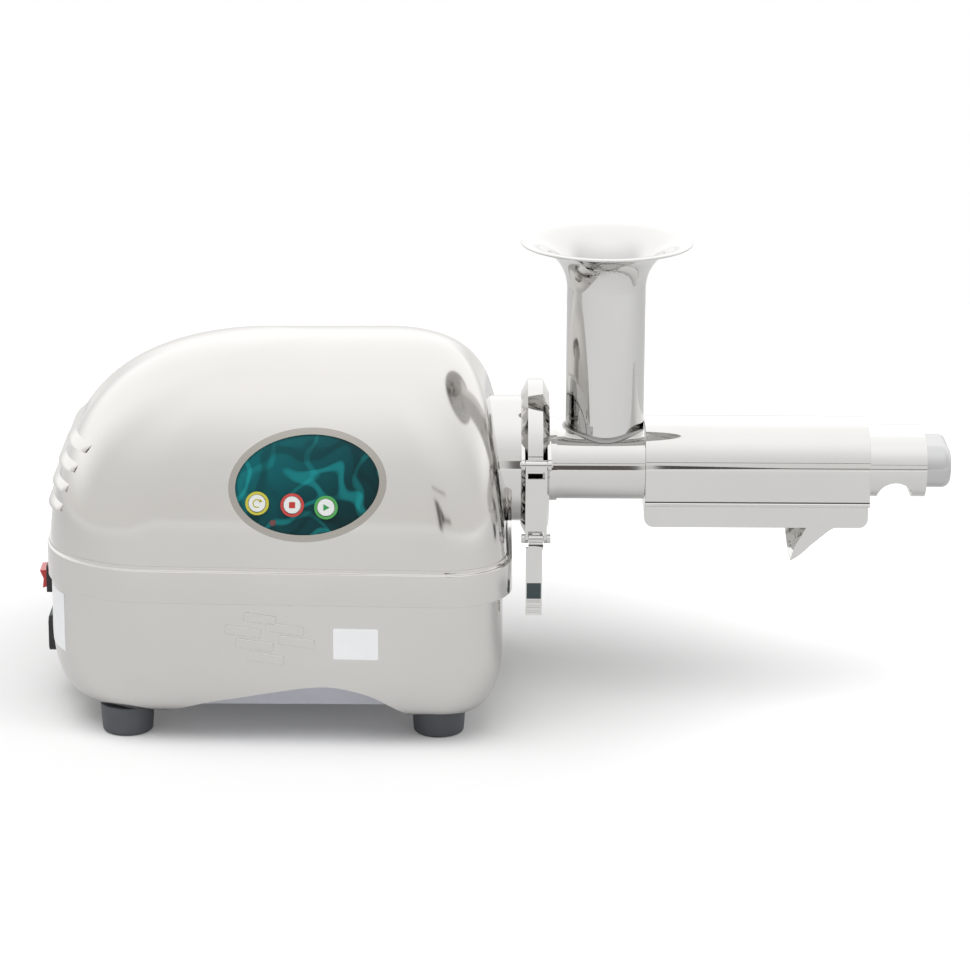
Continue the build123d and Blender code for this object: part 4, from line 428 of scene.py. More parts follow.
def prism(name: str, outline: np.ndarray, start: float, end: float, axis: str = "X") -> Piece:
    """Solid between two copies of an outline: (y, z) points along X, or (x, z) points along Y."""
    column = 0 if axis == "X" else 1
    points = np.asarray(outline, float)
    return slab(name, [np.insert(points, column, place, axis=1) for place in (start, end)])


def rod(name: str, centre: Floats, radius: float, start: float, end: float) -> Piece:
    """Round bar along X about a (y, z) centre."""
    return smooth(prism(name, arc(centre, radius, 0, 345, 24), start, end))


def soften(piece: Piece, width: float, segments: int = 2) -> Piece:
    """Round a piece's edges of more than 38 degrees by a width in millimetres."""
    modifier = piece.modifiers.new("edge", "BEVEL")
    modifier.width = width * MM
    modifier.segments = segments
    modifier.limit_method = "ANGLE"
    modifier.angle_limit = radians(38)
    modifier.use_clamp_overlap = True
    modifier.harden_normals = True
    return piece


class Workshop:
    """Keeps the materials and hands every finished piece to its body, slot and CAD node."""

    def __init__(self) -> None:
        """Make one material for each slot of the record."""
        self.materials = {slot: finish.material() for slot, finish in FINISHES.items()}
        self.slot_of = {entry["node"]: entry["material_slot"] for entry in frame["record"]["subparts"]}
        self.stood_for = set()
        self.body_of = {}
        for body, nodes in frame["record"]["behaviour"]["bodies"].items():
            self.body_of.update({node: body for node in nodes})

    def dress(self, piece: Piece, material: Material) -> None:
        """Give a piece one material all over."""
        piece.data.materials.clear()
        piece.data.materials.append(material)

    def stand_in(self, piece: Piece, node: str, material: Optional[Material] = None) -> None:
        """Let a piece take a CAD node's place, body and slot.

        Args:
            piece: the new object.
            node: the CAD node that it stands for.
            material: its material, or None for the slot's own.
        """
        slot = self.slot_of[node]
        self.dress(piece, material or self.materials[slot])
        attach(piece, self.body_of[node])
        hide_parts(node)
        self.stood_for.add(node)
        LOG.info("%s stands for %s", piece.name, node)

    def join(self, piece: Piece, node: str, material: Material) -> None:
        """Let an extra piece ride with a CAD node.

        Args:
            piece: the new object.
            node: the node whose body it rides on.
            material: its material.
        """
        self.dress(piece, material)
        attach(piece, self.body_of[node])
        LOG.info("%s rides with %s", piece.name, node)

    def refine(self, node: str, edge: float, material: Optional[Material] = None) -> None:
        """Stand in a copy of a CAD node with merged faces, smooth shading and softened edges.

        Args:
            node: the CAD node.
            edge: edge radius in millimetres.
            material: its material, or None for the slot's own.
        """
        mesh = frame["nodes"][node].data.copy()
        mesh.name = node + "_fine"
        shape = bmesh.new()
        shape.from_mesh(mesh)
        bmesh.ops.remove_doubles(shape, verts=shape.verts, dist=2e-6)
        bmesh.ops.dissolve_limit(shape, angle_limit=radians(0.4), verts=shape.verts, edges=shape.edges)
        shape.to_mesh(mesh)
        shape.free()
        piece = smooth(make_object(node + "_fine", mesh))
        if edge > 0:
            soften(piece, edge)
        self.stand_in(piece, node, material)

    def coat(self) -> None:
        """Give the CAD nodes that no piece stands for the material of their slot."""
        kept = [node for node in self.slot_of if node not in self.stood_for]
        for node in kept:
            self.dress(frame["nodes"][node], self.materials[self.slot_of[node]])
        LOG.info("%d CAD nodes keep their shape", len(kept))


# ---------------- housing
@dataclass
class Housing:
    """Sheet steel cover and pan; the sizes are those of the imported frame's solids."""

    rear_x: float = -237.5
    front_x: float = 10.5
    half_rear: float = 86.0
    half_front: float = 95.0
    corner_rear: float = 61.0
    corner_front: float = 35.0
    sheet: float = 1.5
    skirt_low: float = 80.5
    skirt_top: float = 98.0
    dome_inset: float = 1.6
    dome_front_inset: float = 2.6
    crest_z: float = 203.8
    crest_x: float = -72.6
    pan_inset: float = 1.9
    pan_front_inset: float = 4.9
    pan_floor: float = 16.0
    round_depth: float = 15.0
    round_height: float = 34.0
    foot_fillet: float = 2.2
    head_z: float = 135.0
    neck_hole: float = 34.1
    bead: float = 0.8
    hem: float = 0.4
    gap: float = 0.3
    foot_step: float = 0.2
    foot_spread: float = 0.3
    rear_curve: tuple = (0.044, 2.34, 3.72)
    front_curve: tuple = (0.096, 4.5, 4.6)
    crown_power: float = 2.4
    full_round: float = 0.97
    neck_core: float = 0.01
    neck_cut: tuple = (-40.0, 30.0)
    neck_steps: int = 128
    slot_cut: tuple = (-245.0, -205.0)
    louvre_z: tuple = (121.3, 132.3, 143.3, 154.3)
    slot_half: float = 50.2
    slot_radius: float = 1.8
    hood_half: float = 53.6
    hood_reach: float = 2.6
    hood_sunk: float = 0.15
    hood_top: float = 2.8
    hood_drop: float = 4.6
    hood_wall: tuple = (0.8, 0.9)
    middle_x: float = -110.0
    floor_share: float = 0.4
    wave: tuple = ((-176.0, -0.5), (-163.0, 3.4), (-150.0, 7.5), (-131.0, 11.6), (-112.0, 15.5),
                   (-98.0, 17.9), (-84.0, 18.5), (-73.0, 16.4), (-62.0, 12.5), (-52.0, 6.4), (-42.0, -0.5))
    segments: tuple = (8, 26, 44, 30, 8)

    def corner(self, x: np.ndarray, y: np.ndarray, radius: np.ndarray, turn: np.ndarray) -> np.ndarray:
        """Points at angles in radians about the centres of each row's corner."""
        return np.stack([x + radius * np.cos(turn), y + radius * np.sin(turn)], axis=-1)

    def ring(self, x0: np.ndarray, x1: np.ndarray, h0: np.ndarray, h1: np.ndarray, r0: np.ndarray,
             r1: np.ndarray, z: np.ndarray) -> np.ndarray:
        """Outlines of a tapered rectangle with round corners, one row for each level.

        One half runs from the middle of the front edge round both corners to the middle of the rear
        edge; the other half is its mirror image. An arc's centre lies one radius inside the end edge
        and one radius, measured square to it, inside the slanted side.
        """
        x0, x1, h0, h1, r0, r1, z = (np.asarray(v, float)[:, None] for v in (x0, x1, h0, h1, r0, r1, z))
        span = np.maximum(x1 - x0, 1e-6)
        slope = (h1 - h0) / span
        lean = np.sqrt(1 + slope**2)
        front_y = np.maximum(h1 - slope * r1 - r1 * lean, 0)
        rear_y = np.maximum(h0 + slope * r0 - r0 * lean, 0)
        side = pi / 2 + np.arctan(slope)
        n_front, n_arc1, n_side, n_arc0, n_rear = self.segments
        t = np.linspace(0, 1, n_front, endpoint=False)[None, :]
        front = np.stack([x1 + 0 * t, front_y * t], axis=-1)
        t = np.linspace(0, 1, n_arc1, endpoint=False)[None, :] * side
        arc1 = self.corner(x1 - r1, front_y, r1, t)
        begin, end = self.corner(x1 - r1, front_y, r1, side), self.corner(x0 + r0, rear_y, r0, side)
        t = np.linspace(0, 1, n_side, endpoint=False)[None, :, None]
        flank = begin * (1 - t) + end * t
        t = side + np.linspace(0, 1, n_arc0, endpoint=False)[None, :] * (pi - side)
        arc0 = self.corner(x0 + r0, rear_y, r0, t)
        t = np.linspace(0, 1, n_rear + 1)[None, :]
        rear = np.stack([x0 + 0 * t, rear_y * (1 - t)], axis=-1)
        half = np.concatenate([front, arc1, flank, arc0, rear], axis=1)
        mirror = half[:, -2:0:-1] * np.array([1.0, -1.0])
        flat = np.concatenate([half, mirror], axis=1)
        return np.concatenate([flat, np.broadcast_to(z[:, :, None], flat.shape[:2] + (1,))], axis=-1)

    def dome_levels(self, inset: float, angles: np.ndarray) -> np.ndarray:
        """Dome rings, with s the sine of the angle.

        An end leans in by a share of the rise times s, and covers what is left to the crest by one minus
        the root of one minus a power of s; the sides narrow by the same rule with a single power. The
        corners grow from the skirt's to almost full half circles.
        """
        s = np.sin(np.radians(angles))
        rise = self.crest_z - inset - self.skirt_top
        rear = self.rear_x + self.dome_inset + inset
        front = self.front_x - self.dome_front_inset - inset
        half_rear = self.half_rear - self.dome_inset - inset
        half_front = self.half_front - self.dome_inset - inset
        reach = []
        for length, (lean, power, root) in ((self.crest_x - rear, self.rear_curve),
                                            (front - self.crest_x, self.front_curve)):
            reach.append(lean * rise * s + (length - lean * rise) * (1 - (1 - s**power) ** (1 / root)))
        narrow = (1 - s**self.crown_power) ** (1 / self.crown_power)
        h0, h1 = half_rear * narrow, half_front * narrow
        share_rear = (self.corner_rear - self.dome_inset - inset) / half_rear
        share_front = (self.corner_front - self.dome_inset - inset) / half_front
        r0 = h0 * (share_rear + (self.full_round - share_rear) * s**2)
        r1 = h1 * (share_front + (self.full_round - share_front) * s**3)
        return self.ring(rear + reach[0], front - reach[1], h0, h1, r0, r1, self.skirt_top + rise * s)

    def level(self, insets: Floats, front_insets: Floats, heights: Floats) -> np.ndarray:
        """Housing outlines drawn in from the skirt's face by given amounts at given heights."""
        side, front = np.asarray(insets, float), np.asarray(front_insets, float)
        return self.ring(self.rear_x + side, self.front_x - front, self.half_rear - side,
                         self.half_front - side, self.corner_rear - side, self.corner_front - side,
                         np.asarray(heights, float))

    def cover(self) -> Piece:
        """Cover shell in one sheet of rings: dome, foot fillet, bead, skirt and the inside."""
        angles = np.concatenate([90 - 88 * np.linspace(0.02, 1, 66) ** 1.25, [1.2]])
        outer = self.dome_levels(0.0, angles)
        fillet = arc((0, self.foot_fillet), self.foot_fillet, 180, 270, 6)
        foot_side = self.dome_inset - self.foot_step - (fillet[:, 0] + self.foot_fillet) * self.foot_spread
        foot_front = foot_side + self.dome_front_inset - self.dome_inset
        foot = self.level(foot_side, foot_front, self.skirt_top + fillet[:, 1])
        bead = arc((self.bead, self.skirt_top - self.bead), self.bead, 90, 180, 6)
        skirt = self.level(bead[:, 0], bead[:, 0], bead[:, 1])
        edge = arc((self.hem, self.skirt_low + self.hem), self.hem, 180, 270, 4)
        hem = self.level(edge[:, 0], edge[:, 0], edge[:, 1])
        side, front = self.pan_inset - self.gap, self.pan_front_inset - self.gap
        inner_top = self.skirt_top - self.sheet
        inside = self.level([side, side, self.dome_inset + self.sheet],
                            [front, front, self.dome_front_inset + self.sheet],
                            [self.skirt_low, inner_top, inner_top])
        room = self.dome_levels(self.sheet, np.linspace(2, 89, 30))
        grid = np.concatenate([outer, foot, skirt, hem, inside, room])
        shell = surface("cover_shell", grid, poles=(True, True))
        (x0, x1), thin = self.neck_cut, self.neck_core
        tube = np.array([(x0, thin), (x0, self.neck_hole), (x1, self.neck_hole), (x1, thin)])
        turn = np.linspace(0, 2 * pi, self.neck_steps, endpoint=False)
        rings = [tube[:, :1] + 0 * turn, tube[:, 1:] * np.cos(turn), self.head_z + tube[:, 1:] * np.sin(turn)]
        cutters = [surface("neck_room", np.stack(rings, axis=-1), closed_rows=True)]
        half, radius = self.slot_half, self.slot_radius
        for row, z in enumerate(self.louvre_z):
            slot = np.concatenate([arc((-half, z), radius, 90, 270, 8), arc((half, z), radius, -90, 90, 8)])
            cutters.append(prism(f"louvre_{row}", slot, *self.slot_cut))
        return cut(shell, cutters)

    def louvre_hood(self, z: float) -> Piece:
        """Pressed hood over one louvre, open below.

        The section swings out from the dome above the slot by a quarter sine and runs back inside
        itself; towards both ends its reach falls off as the eighth root of one minus y to the eighth.
        """
        half, reach, (thick, deep) = self.hood_half, self.hood_reach, self.hood_wall
        y = np.linspace(-half, half, 81)
        v = np.linspace(0, 1, 10)
        outer_z = z + self.hood_top - self.hood_drop * v
        inner_z = z + self.hood_top - deep - (self.hood_drop - deep) * v
        levels = np.concatenate([outer_z, inner_z[::-1]])
        swing = np.sin(pi / 2 * v)
        proud = np.concatenate([swing * reach, (swing * (reach - thick))[::-1]])
        angles = np.degrees(np.arcsin((levels - self.skirt_top) / (self.crest_z - self.skirt_top)))
        rings = self.dome_levels(0.0, angles)
        rows = []
        for ring, push in zip(rings, proud):
            back = ring[ring[:, 0] < self.rear_x + 45.0]
            back = back[np.argsort(back[:, 1])]
            fall = (1 - (np.abs(y) / (half + 0.01)) ** 8) ** 0.125
            x = np.interp(y, back[:, 1], back[:, 0]) - push * fall + self.hood_sunk
            rows.append(np.stack([x, y, np.full_like(y, ring[0, 2])], axis=-1))
        section = np.stack(rows, axis=1)
        ends = section.mean(axis=1, keepdims=True)
        grid = np.concatenate([np.broadcast_to(ends[:1], section[:1].shape), section,
                               np.broadcast_to(ends[-1:], section[-1:].shape)])
        return surface(f"louvre_hood_{int(z)}", grid)

    def pan(self) -> Piece:
        """Pan shell with a rounded lower edge and the wave under each long side."""
        top = self.skirt_top - 2 * self.sheet - self.gap
        angles = np.radians(np.linspace(90, 0, 30))
        draw = self.round_depth * (1 - np.sin(angles))
        z = self.pan_floor + self.round_height * (1 - np.cos(angles))
        side = np.concatenate([[self.pan_inset], self.pan_inset + draw])
        front = side + self.pan_front_inset - self.pan_inset
        walls = self.level(side, front, np.concatenate([[top], z]))
        shrink = np.array([self.floor_share, self.floor_share, 1.0])
        shift = np.array([(1 - self.floor_share) * self.middle_x, 0, 0])
        floor = walls[-1:] * shrink + shift
        inner_z = self.pan_floor + self.sheet + (self.round_height - self.sheet) * (1 - np.cos(angles))
        inner = self.level(side + self.sheet, front + self.sheet, np.concatenate([[top], inner_z]))
        inner_floor = inner[-1:] * shrink + shift
        grid = np.concatenate([floor, walls[::-1], inner, inner_floor])
        shell = surface("pan_shell", grid, poles=(True, True))
        knots = np.array(self.wave)
        x0, x1 = self.wave[0][0], self.wave[-1][0]
        x = np.linspace(x0, x1, 60)
        wave = np.stack([x, self.pan_floor + smooth_curve(knots, x)], axis=-1)
        outline = np.concatenate([wave, [(x1, 5.0), (x0, 5.0)]])
        return cut(shell, [prism("wave_room", outline, -120, 120, axis="Y")])


def smooth_curve(knots: np.ndarray, x: np.ndarray) -> np.ndarray:
    """Curve through knots: on each span a cubic whose end slopes are the mean of its neighbours'."""
    kx, ky = knots[:, 0], knots[:, 1]
    slope = np.gradient(ky, kx)
    i = np.clip(np.searchsorted(kx, x) - 1, 0, len(kx) - 2)
    h = kx[i + 1] - kx[i]
    t = (x - kx[i]) / h
    a, b = ky[i], ky[i + 1]
    return ((1 + 2 * t) * (1 - t) ** 2 * a + t * (1 - t) ** 2 * h * slope[i]
            + t**2 * (3 - 2 * t) * b + t**2 * (t - 1) * h * slope[i + 1])


@dataclass(frozen=True)
class Face:
    """Flat place on the machine: its x runs to the right as seen from outside, its up along the wall."""

    origin: Vector
    right: Vector
    normal: Vector

    def plate(self, name: str, outline: Sequence[Floats], back: float, front: float) -> Piece:
        """Solid whose outline lies in the face.

        Args:
            name: name of the piece.
            outline: (right, up) points in millimetres.
            back: height of its lower side over the face.
            front: height of its upper side over the face.

        Returns:
            The new object.
        """
        up = self.normal.cross(self.right)
        points = np.asarray(outline, float)
        flat = points[:, :1] * np.array(self.right) + points[:, 1:] * np.array(up)
        layers = [flat + np.array(self.origin + self.normal * height) for height in (back, front)]
        return smooth(slab(name, layers))


def rounded(width: float, height: float, radius: float) -> np.ndarray:
    """Outline of a rectangle with round corners about the origin."""
    a, b = width / 2 - radius, height / 2 - radius
    corners = [arc((x, y), radius, start, start + 90, 6)
               for x, y, start in ((a, b, 0), (-a, b, 90), (-a, -b, 180), (a, -b, 270))]
    return np.concatenate(corners)


# ---------------- printed matter
@dataclass
class Panel:
    """Printed film of the oval control panel and the signs on its buttons."""

    centre: tuple = (-95.8, -84.2, 144.2)
    lean: float = 16.5
    taper: float = 0.03629
    half_length: float = 37.4
    cap_height: float = 2.0
    ink: float = 0.06
    reverse: tuple = (-25.8, -10.0)
    stop: tuple = (-7.6, -10.6)
    start: tuple = (9.9, -11.6)

    def face(self) -> Face:
        """Plane of the panel, square to the dome."""
        normal = Vector((-self.taper, -cos(radians(self.lean)), sin(radians(self.lean)))).normalized()
        right = Vector((1.0, -self.taper, 0.0)).normalized()
        return Face(Vector(self.centre), right, normal)

    def signs(self, shop: Workshop) -> None:
        """Print an open arrow ring, a square and a triangle on the three caps."""
        face = self.face()
        inks = {"reverse": (0.45, 0.40, 0.03), "stop": (0.45, 0.03, 0.02), "start": (0.02, 0.26, 0.06)}
        ring = np.concatenate([arc((0, 0), 2.3, 30, 300, 24), arc((0, 0), 1.7, 300, 30, 24)])
        head = [(1.1, 0.5), (3.0, 1.0), (1.6, 2.5)]
        triangle = [(-1.3, -1.8), (2.0, 0.0), (-1.3, 1.8)]
        signs = {"reverse": [ring, head], "stop": [rounded(3.2, 3.2, 0.4)], "start": [triangle]}
        for name, outlines in signs.items():
            material = Moulded(f"ink_{name}", inks[name], 0.4).material()
            place = np.array(getattr(self, name))
            low, high = self.cap_height - 0.02, self.cap_height + self.ink
            for number, outline in enumerate(outlines):
                piece = face.plate(f"sign_{name}_{number}", np.asarray(outline) + place, low, high)
                shop.join(piece, f"button_{name}", material)

    def film(self) -> Material:
        """Material of the printed film."""
        return Printed("printed_film", tuple(c * MM for c in self.centre), self.half_length * MM).material()


@dataclass
class Plates:
    """Blank sticker, blank rating label and raised bars on the pan's walls."""

    housing: Housing
    sheet: float = 0.12
    sticker_x: tuple = (-82.8, -59.3)
    sticker_z: tuple = (50.9, 67.8)
    label_z: tuple = (44.0, 76.0)
    label_turn: tuple = (4.0, 33.0)
    bars: tuple = ((-121, 72.5, 17), (-130, 65.3, 19), (-108, 67.0, 20), (-124, 58.0, 20), (-102, 60.0, 19),
                   (-118, 50.8, 19))

    def slope(self) -> float:
        """How much the pan widens for each millimetre towards the head."""
        home = self.housing
        length = home.front_x - home.pan_front_inset - home.rear_x - home.pan_inset
        return (home.half_front - home.half_rear) / length

    def wall(self, x: float, z: float) -> Face:
        """Face on the pan's front wall."""
        home = self.housing
        half = home.half_rear - home.pan_inset + self.slope() * (x - home.rear_x - home.pan_inset)
        right = Vector((1.0, -self.slope(), 0.0)).normalized()
        return Face(Vector((x, -half, z)), right, right.cross(Vector((0, 0, 1))))

    def build(self, shop: Workshop) -> None:
        """Make the sticker, the label and the bars."""
        white = Moulded("sticker_film", (0.90, 0.91, 0.92), 0.3, 0.0, coat=0.3).material()
        x0, x1 = self.sticker_x
        z0, z1 = self.sticker_z
        place = self.wall((x0 + x1) / 2, (z0 + z1) / 2)
        sticker = place.plate("blank_sticker", rounded(x1 - x0, z1 - z0, 0.8), -0.05, self.sheet)
        shop.join(sticker, "base_pan", white)
        shop.join(self.label(), "base_pan", white)
        steel = shop.materials["satin_steel"]
        for number, (x, z, length) in enumerate(self.bars):
            outline = rounded(length, 5.0, 1.0) @ np.array([[0.99, -0.14], [0.14, 0.99]])
            bar = self.wall(x, z).plate(f"raised_bar_{number}", outline, -0.5, 0.5)
            shop.join(soften(bar, 0.45, 4), "base_pan", steel)

    def label(self) -> Piece:
        """Curved label on the pan's rear corner: the corner's arc and its lower rounding, moved outwards."""
        home = self.housing
        radius = home.corner_rear - home.pan_inset
        centre_x = home.rear_x + home.corner_rear
        slope = self.slope()
        centre_y = -(home.half_rear - home.pan_inset + slope * radius - radius * (1 + slope**2) ** 0.5)
        turn = np.radians(np.linspace(*self.label_turn, 24))
        heights = np.linspace(*self.label_z, 12)
        share = np.clip(1 - (heights - home.pan_floor) / home.round_height, 0, 1)
        draw = home.round_depth * (1 - np.sqrt(1 - share**2))
        shells = []
        for proud in (-0.05, self.sheet):
            reach = (radius + proud - draw)[:, None]
            shells.append(np.stack([centre_x - reach * np.cos(turn), centre_y - reach * np.sin(turn),
                                    np.broadcast_to(heights[:, None], (12, 24))], axis=-1))
        back, front = shells
        loop = np.concatenate([front, back[:, ::-1]], axis=1)
        lids = [(edge + edge[:, ::-1]) / 2 for edge in (loop[:1], loop[-1:])]
        return surface("blank_label", np.concatenate([lids[0], loop, lids[1]]))


@dataclass
class CoverHems:
    """Rolled hems along the sliding cover's lower edges, each with a thin dark rod above it as painted shade.
    """

    x0: float = 81.3
    x1: float = 201.0
    half_width: float = 30.0
    low_z: float = 117.0
    radius: float = 1.15
    # radius of the thin dark rod that paints the shadow line above each hem
    shade_line_radius: float = 0.35

    def build(self, shop: Workshop) -> None:
        """Make a round bar half sunk in each long edge, and above it a thin near-black rod: painted shade for
        the shadow line of the rolled sheet.
        """
        z = self.low_z + self.radius
        steel = shop.materials["polished_steel"]
        shade_line_z = z + self.radius + 0.6 * self.shade_line_radius
        # painted shade: near-black steel on a thin rod stands in for the shadow above each hem
        painted_shade_steel = Steel("painted_seam_shade", (0.10, 0.098, 0.095), 0.3).material()
        for side in (-1, 1):
            y = side * (self.half_width - 0.25)
            hem = rod(f"long_hem_{side + 1}", (y, z), self.radius, self.x0, self.x1)
            shop.join(hem, "juice_cover", steel)
            y = side * (self.half_width - 0.1)
            shade_line = rod(f"hem_painted_shade_{side + 1}", (y, shade_line_z), self.shade_line_radius, self.x0, self.x1)
            shop.join(shade_line, "juice_cover", painted_shade_steel)


@dataclass
class HandleEnd:
    """Dark grip patch and rolled lines near the free end of the clamp's handle."""

    middle_x: float = 22.15
    half_width: float = 3.8
    face_y: float = -50.1
    bend_z: float = 75.2
    sweep: float = 0.13
    patch_heights: tuple = (5.2, 3.4)
    lines: tuple = ((-50.75, 70.5), (-51.1, 67.6), (-51.45, 64.9))
    line_radius: float = 0.55

    def build(self, shop: Workshop) -> None:
        """Make the patch in two flat parts, above and below the bend, and the lines."""
        x0, x1 = self.middle_x - self.half_width, self.middle_x + self.half_width
        film = Moulded("grip_film", (0.03, 0.05, 0.055), 0.35).material()
        upper, lower = self.patch_heights
        faces = {"upper": (self.face_y, self.bend_z + upper / 2, 0.0, upper),
                 "lower": (self.face_y - self.sweep * lower / 2, self.bend_z - lower / 2, self.sweep, lower)}
        for name, (y, z, lean, height) in faces.items():
            outwards = Vector((0, -1, lean)).normalized()
            patch = Face(Vector((self.middle_x, y, z)), Vector((1, 0, 0)), outwards)
            plate = patch.plate(f"grip_patch_{name}", rounded(x1 - x0, height, 0.3), -0.1, 0.1)
            shop.join(plate, "clamp_handle", film)
        for number, (y, z) in enumerate(self.lines):
            line = rod(f"handle_line_{number}", (y, z), self.line_radius, x0, x1)
            shop.join(line, "clamp_handle", shop.materials["polished_steel"])


@dataclass
class Weld:
    """Ground weld where the feed tube meets the barrel."""

    tube_x: float = 60.0
    tube_radius: float = 21.0
    barrel_radius: float = 18.6
    half_spacing: float = 11.0
    axis_z: float = 135.0
    width: float = 1.7
    end_x: float = 80.9
    proud: tuple = (0.02, 0.03)
    root: tuple = (0.4, 0.8)

    def height(self, y: np.ndarray) -> np.ndarray:
        """Height of the barrel's upper side: flat over the middle, a circle's arc on each side."""
        side = np.clip(np.abs(y) - self.half_spacing, 0, self.barrel_radius)
        return self.axis_z + np.sqrt(self.barrel_radius**2 - side**2)

    def build(self, shop: Workshop) -> None:
        """Sweep a hollow fillet round the tube.

        Each section is a quadratic Bezier curve from the tube's wall through the corner to the barrel,
        so it leaves both surfaces smoothly; the section is closed through the metal behind it.
        """
        turn = np.linspace(0, 2 * pi, 160, endpoint=False)[:, None]
        room = (self.end_x - self.tube_x) / np.maximum(np.cos(turn), 1e-3) - self.tube_radius
        width = np.clip(np.where(np.cos(turn) > 0, room, self.width), 0.05, self.width)
        u = np.linspace(0, 1, 9)[None, :]
        foot = self.tube_radius + width
        corner_z = self.height(self.tube_radius * np.sin(turn))
        foot_z = self.height(foot * np.sin(turn)) + self.proud[1]
        top, corner = self.tube_radius + self.proud[0], self.tube_radius
        radius = (1 - u) ** 2 * top + 2 * u * (1 - u) * corner + u**2 * foot
        level = (1 - u) ** 2 * (corner_z + width) + 2 * u * (1 - u) * corner_z + u**2 * foot_z
        radius = np.concatenate([radius, np.full_like(turn, corner - self.root[0])], axis=1)
        level = np.concatenate([level, corner_z - self.root[1]], axis=1)
        grid = np.stack([self.tube_x + radius * np.cos(turn), radius * np.sin(turn), level], axis=-1)
        ground = Steel("ground_weld", (0.30, 0.295, 0.285), 0.25, 0.1)
        shop.join(surface("weld_bead", grid, closed_rows=True), "hopper", ground.material())


@dataclass
class Hopper:
    """Trumpet-shaped feed tube of one sheet thickness, standing on the barrel."""

    seat: Weld
    wall: float = 1.3
    flare_radius: float = 24.0
    flare_z: float = 229.7
    sink: float = 0.4

    def build(self, shop: Workshop) -> None:
        """Make the tube as one sheet of rings.

        Each ring is a circle about the tube's axis. The rings go up the outer wall from the barrel's
        saddle line, out along a quarter circle, round the rim, and back down the inside. The rings below
        the flare rise and fall with the saddle line by the share of their depth.
        """
        outer, bore = self.seat.tube_radius, self.seat.tube_radius - self.wall
        centre = outer + self.flare_radius
        flare = arc((centre, self.flare_z), self.flare_radius, 180, 90, 40)
        rim = arc((centre, self.flare_z + self.flare_radius + self.wall / 2), self.wall / 2, -60, 60, 5)
        inner = arc((centre, self.flare_z), self.flare_radius + self.wall, 90, 180, 40)
        turn = np.linspace(0, 2 * pi, 192, endpoint=False)[None, :]
        depth = np.linspace(1, 0, 14)[:-1, None]
        walls = []
        for radius in (outer, bore):
            foot = self.seat.height(radius * np.sin(turn)) - self.sink
            walls.append((radius + 0 * depth, self.flare_z + (foot - self.flare_z) * depth))
        crown = np.concatenate([flare, rim, inner])
        radii = np.concatenate([walls[0][0], crown[:, :1], walls[1][0][::-1]])
        levels = np.concatenate([walls[0][1], crown[:, 1:] + 0 * turn, walls[1][1][::-1]])
        grid = np.stack([self.seat.tube_x + radii * np.cos(turn), radii * np.sin(turn), levels], axis=-1)
        shop.stand_in(smooth(surface("hopper_tube", grid, closed_rows=True), 50.0), "hopper")


